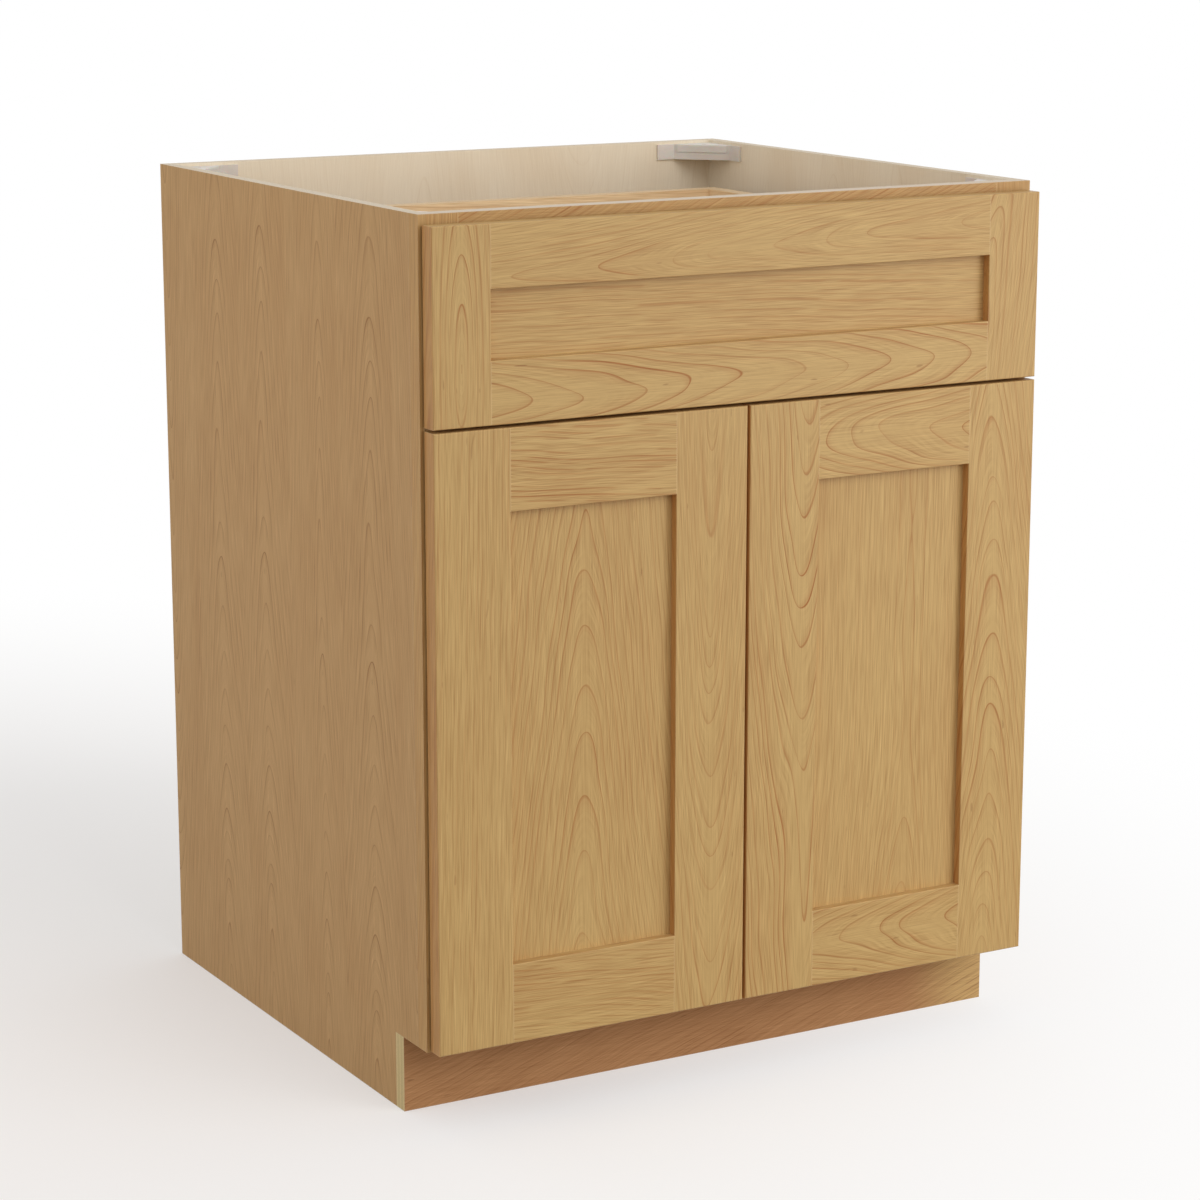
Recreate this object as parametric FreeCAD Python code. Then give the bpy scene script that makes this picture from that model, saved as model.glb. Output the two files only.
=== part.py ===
import FreeCAD, Part
import math
import os

# Kitchen base cabinet: a plywood case with a hardwood face frame, one dovetailed drawer on
# undermount slides and two framed doors on cup hinges.
# Millimetres. X runs to the right seen from the front, Y to the back, Z up from the floor.
# Lengths along Y are written from the front of the face frame and shifted once on export.

os.makedirs("parts", exist_ok=True)
V = FreeCAD.Vector

# Case
CASE_WIDTH = 685.8
CASE_HEIGHT = 876.3
CASE_DEPTH = 609.6
SIDE_THICKNESS = 12.7
BACK_THICKNESS = 12.7
BOTTOM_THICKNESS = 12.7
TOE_HEIGHT = 76.2
TOE_RECESS = 50.8
TOE_BOARD_THICKNESS = 17.0
DADO_DEPTH = 6.0
JOINT_PLAY = 0.1
OVERRUN = 5.0

# Face frame
FRAME_THICKNESS = 19.05
FRAME_STILE_WIDTH = 41.3
TOP_RAIL_WIDTH = 41.3
MIDDLE_RAIL_WIDTH = 41.3
BOTTOM_RAIL_WIDTH = 41.3

# Drawer front and doors
FRONT_THICKNESS = 19.05
FRONT_GAP = 2.4
SIDE_REVEAL = 3.2
TOP_REVEAL = 9.5
FRONT_SPACING = 3.2
DOOR_SPACING = 3.2
DOOR_LIFT = 1.6
DRAWER_FRONT_HEIGHT = 186.0
DOOR_STILE_WIDTH = 79.4
DOOR_RAIL_WIDTH = 79.4
DRAWER_FRONT_STILE_WIDTH = 60.0
DRAWER_FRONT_RAIL_WIDTH = 60.0
PANEL_RECESS = 9.5
GROOVE_WIDTH = 6.2
GROOVE_DEPTH = 9.5
OUTER_ARRIS = 1.3
INNER_ARRIS = 0.9

# Bumpers behind the fronts
BUMPER_SIZE = 8.0
BUMPER_INSET = 12.0

# Shelf, its drilled columns and its pegs
SHELF_THICKNESS = 15.9
SHELF_SIDE_CLEARANCE = 1.5
SHELF_BACK_CLEARANCE = 3.0
SHELF_SETBACK = 14.85
PEG_HOLE_DIAMETER = 5.1
PEG_HOLE_DEPTH = 9.5
PEG_HOLE_PITCH = 50.8
PEG_HOLE_COUNT = 3
PEG_HOLE_RISE = 224.5
PEG_COLUMN_INSET = 57.0
PEG_COUNT_BELOW_SHELF = 1
PEG_DIAMETER = 5.0
PEG_SPOON_LENGTH = 9.0
PEG_SPOON_WIDTH = 11.0
PEG_SPOON_THICKNESS = 1.8

# Corner braces under the countertop
BRACE_LEG = 70.0
BRACE_TAB = 22.0
BRACE_WALL = 2.6
BRACE_HEIGHT = 17.0
BRACE_DROP = 3.2
BRACE_HOLE_DIAMETER = 6.0
BRACE_HOLE_INSET = 18.0

# Drawer box
DRAWER_DEPTH_ROOM = 76.2
DRAWER_TOP_CLEARANCE = 6.35
DRAWER_BOARD_THICKNESS = 15.9
DRAWER_SIDE_GAP = 5.1
DRAWER_BOTTOM_THICKNESS = 6.3
DRAWER_BOTTOM_RECESS = 12.7
DRAWER_GROOVE_DEPTH = 6.0
TAIL_COUNT = 5
TAIL_FLARE = 2.0
TAIL_WIDTH_SHARE = 0.58

# Drawer slides: cabinet channel, middle beam and drawer channel, one set under each drawer side
CHANNEL_WIDTH = 24.0
CHANNEL_HEIGHT = 13.0
CHANNEL_WALL = 1.4
CHANNEL_SLOT = 8.0
CHANNEL_SPACING = 1.4
CHANNEL_SIDE_GAP = 7.0
CHANNEL_SETBACK = 2.0
BEAM_FLANGE = 1.6
BEAM_WEB = 2.0
SLIDE_PLAY = 0.3
SLIDE_END_GAP = 1.0
GLIDE_LENGTH = 34.0
HOOK_HEIGHT = 17.0
HOOK_PIN_DIAMETER = 6.0
HOOK_PIN_LENGTH = 8.0
HOOK_PIN_RISE = 12.0
NOTCH_PLAY = 1.0

# Rear brackets that carry the cabinet channels
BRACKET_WALL = 2.5
BRACKET_OVERLAP = 32.0
BRACKET_CHEEK_HEIGHT = 8.0
BRACKET_PLATE_WIDTH = 44.0
BRACKET_PLATE_HEIGHT = 42.0

# Locking clips under the front of the drawer
CLIP_WIDTH = 26.0
CLIP_LENGTH = 44.0
CLIP_HEIGHT = 10.5
CLIP_CHAMFER = 12.0

# Cup hinges, measured from the outer edge and the front face of a door
HINGE_INSET = 88.9
CUP_DIAMETER = 35.0
CUP_EDGE = 3.0
CUP_DEPTH = 13.0
CUP_WALL = 0.7
CUP_PLAY = 0.05
FLANGE_THICKNESS = 0.8
FLANGE_HALF_LENGTH = 28.0
FLANGE_HALF_WIDTH = 10.0
FLANGE_OFFSET = 5.5
PIN_DIAMETER = 2.0
PIN_RUNNING_FIT = 0.05
BOSS_SIZE = 4.6
EYE_WALL = 0.95
EYE_CLEARANCE = 0.25
ARM_THICKNESS = 1.2
ARM_HALF_WIDTH = 5.0
ARM_SIDE_PLAY = 0.3
ARM_FLAT = 10.3
ARM_LANDING_RUN = 4.1
ARM_BEND = 1.5
ARM_PLATE_DEPTH = 25.0
ARM_PLATE_HALF_HEIGHT = 11.0

# Worked out from the sizes above
HALF_WIDTH = CASE_WIDTH / 2
SIDE_INNER = HALF_WIDTH - SIDE_THICKNESS
OPENING_HALF = HALF_WIDTH - FRAME_STILE_WIDTH
BACK_FACE = CASE_DEPTH - BACK_THICKNESS
FACE_Y = FRONT_THICKNESS + FRONT_GAP - (CASE_DEPTH + FRONT_THICKNESS + FRONT_GAP) / 2
FRONT_PLANE = -FRONT_GAP - FRONT_THICKNESS
FRONTS_TOP = CASE_HEIGHT - TOP_REVEAL
DRAWER_FRONT_BOTTOM = FRONTS_TOP - DRAWER_FRONT_HEIGHT
DRAWER_FRONT_WIDTH = CASE_WIDTH - 2 * SIDE_REVEAL
DOOR_TOP = DRAWER_FRONT_BOTTOM - FRONT_SPACING
DOOR_BOTTOM = TOE_HEIGHT + DOOR_LIFT
DOOR_HEIGHT = DOOR_TOP - DOOR_BOTTOM
DOOR_WIDTH = (DRAWER_FRONT_WIDTH - DOOR_SPACING) / 2
MIDDLE_RAIL_BOTTOM = DOOR_TOP + FRONT_SPACING / 2 - MIDDLE_RAIL_WIDTH / 2
MIDDLE_RAIL_TOP = MIDDLE_RAIL_BOTTOM + MIDDLE_RAIL_WIDTH
FLOOR_TOP = TOE_HEIGHT + BOTTOM_RAIL_WIDTH
FLOOR_BOTTOM = FLOOR_TOP - BOTTOM_THICKNESS
TOE_BACK = TOE_RECESS + TOE_BOARD_THICKNESS
SHELF_FRONT = FRAME_THICKNESS + SHELF_SETBACK
SHELF_BACK = BACK_FACE - SHELF_BACK_CLEARANCE
PEG_HOLE_BOTTOM = FLOOR_TOP + PEG_HOLE_RISE
CUP_X = CUP_EDGE + CUP_DIAMETER / 2
CUP_OUTER = CUP_DIAMETER - 2 * CUP_PLAY
CUP_INNER = CUP_OUTER - 2 * CUP_WALL
CUP_FLOOR = FRONT_THICKNESS - CUP_DEPTH + CUP_WALL
EYE_BORE = PIN_DIAMETER + 2 * PIN_RUNNING_FIT
EYE_OUTER = EYE_BORE + 2 * EYE_WALL
CUP_CHORD = math.sqrt((CUP_INNER / 2) ** 2 - ARM_HALF_WIDTH ** 2)
PIN_X = CUP_X - CUP_CHORD + EYE_OUTER / 2 + EYE_CLEARANCE
PIN_Y = CUP_FLOOR + EYE_OUTER / 2 + EYE_CLEARANCE
HINGE_AXIS_X = HALF_WIDTH - SIDE_REVEAL - PIN_X
HINGE_AXIS_Y = FRONT_PLANE + PIN_Y
DRAWER_OUTER_HALF = OPENING_HALF - DRAWER_SIDE_GAP
DRAWER_INNER_HALF = DRAWER_OUTER_HALF - DRAWER_BOARD_THICKNESS
DRAWER_LENGTH = CASE_DEPTH - DRAWER_DEPTH_ROOM
DRAWER_FRONT_Y = -FRONT_GAP
DRAWER_BACK_Y = DRAWER_FRONT_Y + DRAWER_LENGTH
DRAWER_UNDERSIDE = MIDDLE_RAIL_TOP + 2 * CHANNEL_HEIGHT + CHANNEL_SPACING
DRAWER_BOX_BOTTOM = DRAWER_UNDERSIDE - DRAWER_BOTTOM_RECESS
DRAWER_BOX_TOP = CASE_HEIGHT - TOP_RAIL_WIDTH - DRAWER_TOP_CLEARANCE
DRAWER_BOX_HEIGHT = DRAWER_BOX_TOP - DRAWER_BOX_BOTTOM
CHANNEL_X = DRAWER_INNER_HALF - CHANNEL_SIDE_GAP - CHANNEL_WIDTH / 2
SLIDE_FRONT = DRAWER_FRONT_Y + DRAWER_BOARD_THICKNESS + SLIDE_END_GAP
FLANGE_HALF = CHANNEL_WIDTH / 2 - CHANNEL_WALL - SLIDE_PLAY


def block(x0, x1, y0, y1, z0, z1):
    """Box between two corners, given in any order."""
    low = V(min(x0, x1), min(y0, y1), min(z0, z1))
    return Part.makeBox(abs(x1 - x0), abs(y1 - y0), abs(z1 - z0), low)


def rod(diameter, length, start, direction):
    return Part.makeCylinder(diameter / 2, length, start, direction)


def mirrored(shape):
    """Copy on the other side of the cabinet's middle plane."""
    return shape.mirror(V(0, 0, 0), V(1, 0, 0))


def moved(shape, x, y, z):
    copy = shape.copy()
    copy.translate(V(x, y, z))
    return copy


def prism(points, extrusion):
    """Straight-sided solid on a closed outline."""
    return Part.Face(Part.makePolygon(points + points[:1])).extrude(extrusion)


def across(direction, along):
    """Unit vector square to a direction, in the plane whose normal is given."""
    side = along.cross(direction)
    return side.normalize()


def bent_strip(path, thickness, extrusion):
    """Sheet strip of even thickness along a bent path, with square corners."""
    sides = {1: [], -1: []}
    for index, point in enumerate(path):
        before = path[max(index - 1, 0)]
        after = path[min(index + 1, len(path) - 1)]
        arriving = point - before if index > 0 else after - point
        leaving = after - point if index < len(path) - 1 else arriving
        first = across(arriving, extrusion)
        second = across(leaving, extrusion)
        mitre = (first + second) * (1 / (1 + first.dot(second)))
        for side in sides:
            sides[side].append(point + mitre * (side * thickness / 2))
    return prism(sides[1] + sides[-1][::-1], extrusion)


def eased(shape, radius, chosen):
    """Round over the edges that a test picks out."""
    edges = [edge for edge in shape.Edges if chosen(edge.BoundBox)]
    return shape.makeFillet(radius, edges)


def save(name, *solids):
    """Write one named piece, or one group of like pieces, in the cabinet's own frame."""
    shape = solids[0] if len(solids) == 1 else Part.makeCompound(list(solids))
    moved(shape, 0, FACE_Y, 0).exportStep("parts/" + name + ".step")


# Places that several pieces share

def hinge_heights():
    return [DOOR_BOTTOM + HINGE_INSET, DOOR_TOP - HINGE_INSET]


def door_corner():
    """Outer front bottom corner of the left door."""
    return V(-HALF_WIDTH + SIDE_REVEAL, FRONT_PLANE, DOOR_BOTTOM)


def brace_corners():
    """Inner corner and the two directions into the room of it, for the four braces."""
    corners = []
    for sign in (-1, 1):
        corners.append((V(sign * SIDE_INNER, FRAME_THICKNESS, 0), -sign, 1))
        corners.append((V(sign * SIDE_INNER, BACK_FACE, 0), -sign, -1))
    return corners


def peg_places():
    """Peg holes of the left side panel as (y, z, whether a peg sits there)."""
    places = []
    for y in (FRAME_THICKNESS + PEG_COLUMN_INSET, BACK_FACE - PEG_COLUMN_INSET):
        for index in range(PEG_HOLE_COUNT):
            places.append((y, PEG_HOLE_BOTTOM + index * PEG_HOLE_PITCH, index == PEG_COUNT_BELOW_SHELF))
    return places


# Case

def side_panel_left():
    panel = block(-HALF_WIDTH, -SIDE_INNER, FRAME_THICKNESS, CASE_DEPTH, 0, CASE_HEIGHT)
    toe_notch = block(-HALF_WIDTH - OVERRUN, -SIDE_INNER + OVERRUN, 0, TOE_BACK, -OVERRUN, TOE_HEIGHT)
    dado_wall = -SIDE_INNER - DADO_DEPTH
    back_rabbet = block(dado_wall, 0, BACK_FACE, CASE_DEPTH + OVERRUN, -OVERRUN, CASE_HEIGHT + OVERRUN)
    floor_dado = block(dado_wall, 0, FRAME_THICKNESS - OVERRUN, CASE_DEPTH, FLOOR_BOTTOM, FLOOR_TOP)
    panel = panel.cut([toe_notch, back_rabbet, floor_dado])
    holes = []
    for y, z, used in peg_places():
        start = V(-SIDE_INNER - PEG_HOLE_DEPTH, y, z)
        holes.append(rod(PEG_HOLE_DIAMETER, PEG_HOLE_DEPTH + OVERRUN, start, V(1, 0, 0)))
    return panel.cut(holes)


def back_panel():
    half = SIDE_INNER + DADO_DEPTH - JOINT_PLAY
    return block(-half, half, BACK_FACE, CASE_DEPTH, 0, CASE_HEIGHT)


def bottom_panel():
    half = SIDE_INNER + DADO_DEPTH - JOINT_PLAY
    return block(-half, half, FRAME_THICKNESS, BACK_FACE, FLOOR_BOTTOM, FLOOR_TOP)


def toe_kick_board():
    """Board across the notched sides, with a tongue up to the cabinet floor between them."""
    lower = block(-HALF_WIDTH, HALF_WIDTH, TOE_RECESS, TOE_BACK, 0, TOE_HEIGHT)
    upper = block(-SIDE_INNER, SIDE_INNER, TOE_RECESS, TOE_BACK, TOE_HEIGHT, FLOOR_BOTTOM)
    return lower.fuse(upper).removeSplitter()


# Face frame

def face_stile_left():
    return block(-HALF_WIDTH, -OPENING_HALF, 0, FRAME_THICKNESS, TOE_HEIGHT, CASE_HEIGHT)


def face_rail(bottom, top):
    return block(-OPENING_HALF, OPENING_HALF, 0, FRAME_THICKNESS, bottom, top)


# Shelf

def shelf_bottom():
    return PEG_HOLE_BOTTOM + PEG_COUNT_BELOW_SHELF * PEG_HOLE_PITCH + PEG_DIAMETER / 2


def shelf():
    half = SIDE_INNER - SHELF_SIDE_CLEARANCE
    bottom = shelf_bottom()
    board = block(-half, half, SHELF_FRONT, SHELF_BACK, bottom, bottom + SHELF_THICKNESS)
    return eased(board, OUTER_ARRIS, lambda box: box.YMax < SHELF_FRONT + JOINT_PLAY and
                 box.ZLength < JOINT_PLAY)


def shelf_pegs():
    """Spoon pegs: a round shank in the panel and a flat tongue under the shelf."""
    pegs = []
    for y, z, used in peg_places():
        if used:
            shank_start = V(-SIDE_INNER - PEG_HOLE_DEPTH, y, z)
            shank = rod(PEG_DIAMETER, PEG_HOLE_DEPTH + PEG_SPOON_LENGTH, shank_start, V(1, 0, 0))
            top = z + PEG_DIAMETER / 2
            half = PEG_SPOON_WIDTH / 2
            spoon = block(-SIDE_INNER, -SIDE_INNER + PEG_SPOON_LENGTH, y - half, y + half,
                          top - PEG_SPOON_THICKNESS, top)
            peg = shank.fuse(spoon)
            pegs += [peg, mirrored(peg)]
    return pegs


# Corner braces

def corner_brace(corner, toward_x, toward_y):
    """Diagonal web with a tab on each wall and a drilled top plate for the countertop screw."""
    top = CASE_HEIGHT - BRACE_DROP
    bottom = top - BRACE_HEIGHT
    middle = BRACE_WALL / 2
    bend = BRACE_LEG - BRACE_TAB

    def at(along_x, along_y, z):
        return V(corner.x + toward_x * along_x, corner.y + toward_y * along_y, z)

    path = [at(middle, BRACE_LEG, bottom), at(middle, bend, bottom),
            at(bend, middle, bottom), at(BRACE_LEG, middle, bottom)]
    web = bent_strip(path, BRACE_WALL, V(0, 0, BRACE_HEIGHT))
    plate = prism([at(0, 0, top), at(bend, 0, top), at(0, bend, top)], V(0, 0, -BRACE_WALL))
    inset = BRACE_HOLE_INSET
    hole = rod(BRACE_HOLE_DIAMETER, BRACE_WALL + 2 * OVERRUN, at(inset, inset, top - BRACE_WALL - OVERRUN),
               V(0, 0, 1))
    return web.fuse(plate).cut(hole)


# Drawer slides

def channel(bottom, y0, y1, opens_up):
    """C channel with inward lips, seen along Y."""
    half = CHANNEL_WIDTH / 2 - CHANNEL_WALL / 2
    lip = CHANNEL_SLOT / 2
    low = CHANNEL_WALL / 2
    high = CHANNEL_HEIGHT - CHANNEL_WALL / 2
    if not opens_up:
        low, high = high, low
    shares = [(-lip, high), (-half, high), (-half, low), (half, low), (half, high), (lip, high)]
    path = [V(x - CHANNEL_X, y0, bottom + z) for x, z in shares]
    return bent_strip(path, CHANNEL_WALL, V(0, y1 - y0, 0))


def slide_cabinet_rail_left():
    """Channel fixed in the case: its foot stands on the middle rail of the face frame."""
    return channel(MIDDLE_RAIL_TOP, CHANNEL_SETBACK, CHANNEL_SETBACK + DRAWER_LENGTH, True)


def beam_levels():
    """Underside of the lower flange and of the upper flange."""
    lower = MIDDLE_RAIL_TOP + CHANNEL_HEIGHT - CHANNEL_WALL - SLIDE_PLAY - BEAM_FLANGE
    upper = DRAWER_UNDERSIDE - CHANNEL_HEIGHT + CHANNEL_WALL + SLIDE_PLAY
    return lower, upper


def slide_middle_rail_left():
    """Beam whose flanges run inside the two channels."""
    lower, upper = beam_levels()
    y1 = DRAWER_BACK_Y
    flanges = [block(-CHANNEL_X - FLANGE_HALF, -CHANNEL_X + FLANGE_HALF, SLIDE_FRONT, y1, z, z + BEAM_FLANGE)
               for z in (lower, upper)]
    web = block(-CHANNEL_X - BEAM_WEB / 2, -CHANNEL_X + BEAM_WEB / 2, SLIDE_FRONT, y1, lower, upper)
    return web.fuse(flanges).removeSplitter()


def slide_drawer_rail_left():
    """Channel under the drawer, with a hook plate whose pin enters the drawer back."""
    y1 = DRAWER_BACK_Y + JOINT_PLAY
    rail = channel(DRAWER_UNDERSIDE - CHANNEL_HEIGHT, SLIDE_FRONT, y1, False)
    half = CHANNEL_WIDTH / 2
    top = DRAWER_UNDERSIDE + HOOK_HEIGHT
    plate = block(-CHANNEL_X - half, -CHANNEL_X + half, y1, y1 + CHANNEL_WALL,
                  DRAWER_UNDERSIDE - CHANNEL_WALL, top)
    pin = rod(HOOK_PIN_DIAMETER, HOOK_PIN_LENGTH, hook_pin_start(), V(0, -1, 0))
    return rail.fuse([plate, pin]).removeSplitter()


def hook_pin_start():
    return V(-CHANNEL_X, DRAWER_BACK_Y + JOINT_PLAY, DRAWER_UNDERSIDE + HOOK_PIN_RISE)


def glide(y0, z0, z1):
    return block(-CHANNEL_X - FLANGE_HALF, -CHANNEL_X + FLANGE_HALF, y0, y0 + GLIDE_LENGTH, z0, z1)


def slide_glides():
    """Nylon glides of the left slide: in the cabinet channel, on the beam and in the drawer channel."""
    lower, upper = beam_levels()
    channel_floor = MIDDLE_RAIL_TOP + CHANNEL_WALL
    channel_roof = DRAWER_UNDERSIDE - CHANNEL_WALL
    rear = DRAWER_BACK_Y - GLIDE_LENGTH
    fixed = glide(SLIDE_FRONT, channel_floor, lower - SLIDE_PLAY)
    on_beam = [glide(rear, channel_floor + SLIDE_PLAY, lower),
               glide(SLIDE_FRONT, upper + BEAM_FLANGE, channel_roof - SLIDE_PLAY)]
    on_drawer = glide(rear, upper + BEAM_FLANGE + SLIDE_PLAY, channel_roof)
    return fixed, on_beam, on_drawer


def slide_rear_bracket():
    """Bracket on the back panel whose trough holds the end of the cabinet channel."""
    rail_end = CHANNEL_SETBACK + DRAWER_LENGTH
    half = CHANNEL_WIDTH / 2 + JOINT_PLAY + BRACKET_WALL
    floor = MIDDLE_RAIL_TOP - JOINT_PLAY - BRACKET_WALL
    y0 = rail_end - BRACKET_OVERLAP
    plate_y = BACK_FACE - BRACKET_WALL
    cheek_top = floor + BRACKET_WALL + BRACKET_CHEEK_HEIGHT
    trough = block(-half, half, y0, plate_y, floor, cheek_top)
    inside = half - BRACKET_WALL
    trough = trough.cut(block(-inside, inside, y0 - OVERRUN, rail_end + JOINT_PLAY,
                              floor + BRACKET_WALL, cheek_top + OVERRUN))
    trough = trough.cut(block(-inside, inside, rail_end + JOINT_PLAY + BRACKET_WALL, plate_y,
                              floor + BRACKET_WALL, cheek_top + OVERRUN))
    plate_half = BRACKET_PLATE_WIDTH / 2
    plate = block(-plate_half, plate_half, plate_y, BACK_FACE, floor, floor + BRACKET_PLATE_HEIGHT)
    return moved(trough.fuse(plate), -CHANNEL_X, 0, 0)


# Drawer box

def tails(y_outer, toward_middle):
    """Dovetails of the left drawer side at one end, widest at the end of the board."""
    pitch = DRAWER_BOX_HEIGHT / TAIL_COUNT
    wide = pitch * TAIL_WIDTH_SHARE / 2 + TAIL_FLARE / 2
    narrow = wide - TAIL_FLARE
    y_root = y_outer + toward_middle * DRAWER_BOARD_THICKNESS
    shapes = []
    for index in range(TAIL_COUNT):
        z = DRAWER_BOX_BOTTOM + (index + 1 / 2) * pitch
        outline = [V(-DRAWER_OUTER_HALF, y_outer, z - wide), V(-DRAWER_OUTER_HALF, y_outer, z + wide),
                   V(-DRAWER_OUTER_HALF, y_root, z + narrow), V(-DRAWER_OUTER_HALF, y_root, z - narrow)]
        shapes.append(prism(outline, V(DRAWER_BOARD_THICKNESS, 0, 0)))
    return shapes


def tail_heel():
    """Lowest corner of the left side at the back, beside the notch for the slide."""
    lowest_tail = DRAWER_BOX_BOTTOM + DRAWER_BOX_HEIGHT / TAIL_COUNT / 2
    y0 = DRAWER_BACK_Y - DRAWER_BOARD_THICKNESS
    return block(-DRAWER_OUTER_HALF, -DRAWER_INNER_HALF, y0, DRAWER_BACK_Y, DRAWER_BOX_BOTTOM, lowest_tail)


def all_tails():
    left = tails(DRAWER_FRONT_Y, 1) + tails(DRAWER_BACK_Y, -1) + [tail_heel()]
    return left, [mirrored(tail) for tail in left]


def bottom_sheet(play):
    """Drawer bottom, or with negative play the groove that takes it."""
    half = DRAWER_INNER_HALF + DRAWER_GROOVE_DEPTH - play
    inset = DRAWER_BOARD_THICKNESS - DRAWER_GROOVE_DEPTH + play
    return block(-half, half, DRAWER_FRONT_Y + inset, DRAWER_BACK_Y - inset,
                 DRAWER_UNDERSIDE, DRAWER_UNDERSIDE + DRAWER_BOTTOM_THICKNESS)


def drawer_side_left():
    board = block(-DRAWER_OUTER_HALF, -DRAWER_INNER_HALF, DRAWER_FRONT_Y + DRAWER_BOARD_THICKNESS,
                  DRAWER_BACK_Y - DRAWER_BOARD_THICKNESS, DRAWER_BOX_BOTTOM, DRAWER_BOX_TOP)
    return board.fuse(all_tails()[0]).removeSplitter().cut(bottom_sheet(0))


def drawer_end_board(y0):
    board = block(-DRAWER_OUTER_HALF, DRAWER_OUTER_HALF, y0, y0 + DRAWER_BOARD_THICKNESS,
                  DRAWER_BOX_BOTTOM, DRAWER_BOX_TOP)
    left, right = all_tails()
    return board.cut(left + right).cut(bottom_sheet(0))


def drawer_box_back():
    """Back board with a notch and a pin hole over each slide."""
    board = drawer_end_board(DRAWER_BACK_Y - DRAWER_BOARD_THICKNESS)
    inner = CHANNEL_X - CHANNEL_WIDTH / 2 - NOTCH_PLAY
    y0 = DRAWER_BACK_Y - DRAWER_BOARD_THICKNESS - OVERRUN
    start = hook_pin_start()
    cuts = []
    for sign in (-1, 1):
        cuts.append(block(sign * inner, sign * DRAWER_INNER_HALF, y0, DRAWER_BACK_Y + OVERRUN,
                          DRAWER_BOX_BOTTOM - OVERRUN, DRAWER_UNDERSIDE + JOINT_PLAY))
        bore = rod(HOOK_PIN_DIAMETER + 2 * JOINT_PLAY, HOOK_PIN_LENGTH + JOINT_PLAY,
                   V(sign * CHANNEL_X, start.y, start.z), V(0, -1, 0))
        cuts.append(bore)
    return board.cut(cuts)


def drawer_clip():
    """Locking clip beside the left drawer channel, against the bottom and the box front."""
    x1 = -CHANNEL_X + CHANNEL_WIDTH / 2
    y0 = DRAWER_FRONT_Y + DRAWER_BOARD_THICKNESS
    y1 = y0 + CLIP_LENGTH
    z0 = DRAWER_UNDERSIDE - CLIP_HEIGHT
    outline = [V(x1, y0, z0), V(x1 + CLIP_WIDTH, y0, z0), V(x1 + CLIP_WIDTH, y1 - CLIP_CHAMFER, z0),
               V(x1 + CLIP_WIDTH - CLIP_CHAMFER, y1, z0), V(x1, y1, z0)]
    return prism(outline, V(0, 0, CLIP_HEIGHT))


# Framed fronts: two stiles, two rails and a flat panel in a groove

def front_blank(width, height, stile, rail):
    """Whole frame of a front in one piece, with its eased arrises and panel groove."""
    blank = Part.makeBox(width, FRONT_THICKNESS, height)
    blank = eased(blank, OUTER_ARRIS, lambda box: box.YMax < JOINT_PLAY)
    window = block(stile, width - stile, -OVERRUN, FRONT_THICKNESS + OVERRUN, rail, height - rail)
    blank = blank.cut(window)

    def round_the_window(box):
        inside_x = box.XMin > stile - JOINT_PLAY and box.XMax < width - stile + JOINT_PLAY
        return box.YMax < JOINT_PLAY and inside_x and box.ZMin > rail - JOINT_PLAY

    blank = eased(blank, INNER_ARRIS, lambda box: round_the_window(box) and
                  box.ZMax < height - rail + JOINT_PLAY)
    return blank.cut(panel_blank(width, height, stile, rail, 0))


def panel_blank(width, height, stile, rail, play):
    """Flat panel of a front, or with no play the groove that takes it."""
    reach = GROOVE_DEPTH - play
    return block(stile - reach, width - stile + reach, PANEL_RECESS + play,
                 PANEL_RECESS + GROOVE_WIDTH - play, rail - reach, height - rail + reach)


def framed_front(width, height, stile, rail):
    """Pieces of a front in its own corner: left stile, right stile, bottom rail, top rail, panel."""
    blank = front_blank(width, height, stile, rail)
    groove_back = PANEL_RECESS + GROOVE_WIDTH

    def stile_piece(x0, x1, groove_x):
        piece = blank.common(block(x0, x1, 0, FRONT_THICKNESS, 0, height))
        groove = block(groove_x, groove_x + GROOVE_DEPTH, PANEL_RECESS, groove_back,
                       -OVERRUN, height + OVERRUN)
        return piece.cut(groove)

    def rail_piece(z0, z1, tongue_z0, tongue_z1):
        piece = blank.common(block(stile, width - stile, 0, FRONT_THICKNESS, z0, z1))
        reach = GROOVE_DEPTH - JOINT_PLAY
        tongues = [block(x, x + side * reach, PANEL_RECESS + JOINT_PLAY, groove_back - JOINT_PLAY,
                         tongue_z0, tongue_z1) for x, side in ((stile, -1), (width - stile, 1))]
        return piece.fuse(tongues)

    left = stile_piece(0, stile, stile - GROOVE_DEPTH)
    right = stile_piece(width - stile, width, width - stile)
    bottom = rail_piece(0, rail, 0, rail - GROOVE_DEPTH)
    top = rail_piece(height - rail, height, height - rail + GROOVE_DEPTH, height)
    return left, right, bottom, top, panel_blank(width, height, stile, rail, JOINT_PLAY)


def bumpers(places):
    """Square pads between the fronts and the face frame."""
    half = BUMPER_SIZE / 2
    return [block(x - half, x + half, -FRONT_GAP, 0, z - half, z + half) for x, z in places]


def drawer_front_pieces():
    pieces = framed_front(DRAWER_FRONT_WIDTH, DRAWER_FRONT_HEIGHT, DRAWER_FRONT_STILE_WIDTH,
                          DRAWER_FRONT_RAIL_WIDTH)
    return [moved(piece, -DRAWER_FRONT_WIDTH / 2, FRONT_PLANE, DRAWER_FRONT_BOTTOM) for piece in pieces]


def drawer_bumpers():
    x = DRAWER_FRONT_WIDTH / 2 - BUMPER_INSET
    return bumpers([(sign * x, FRONTS_TOP - BUMPER_INSET) for sign in (-1, 1)])


def left_door_bumpers():
    x = -HALF_WIDTH + SIDE_REVEAL + DOOR_WIDTH - BUMPER_INSET
    return bumpers([(x, DOOR_BOTTOM + BUMPER_INSET), (x, DOOR_TOP - BUMPER_INSET)])


# Hinges of the left door: cup, pin and arm at one height

def at_hinge(shape, height):
    corner = door_corner()
    return moved(shape, corner.x, corner.y, height)


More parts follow.
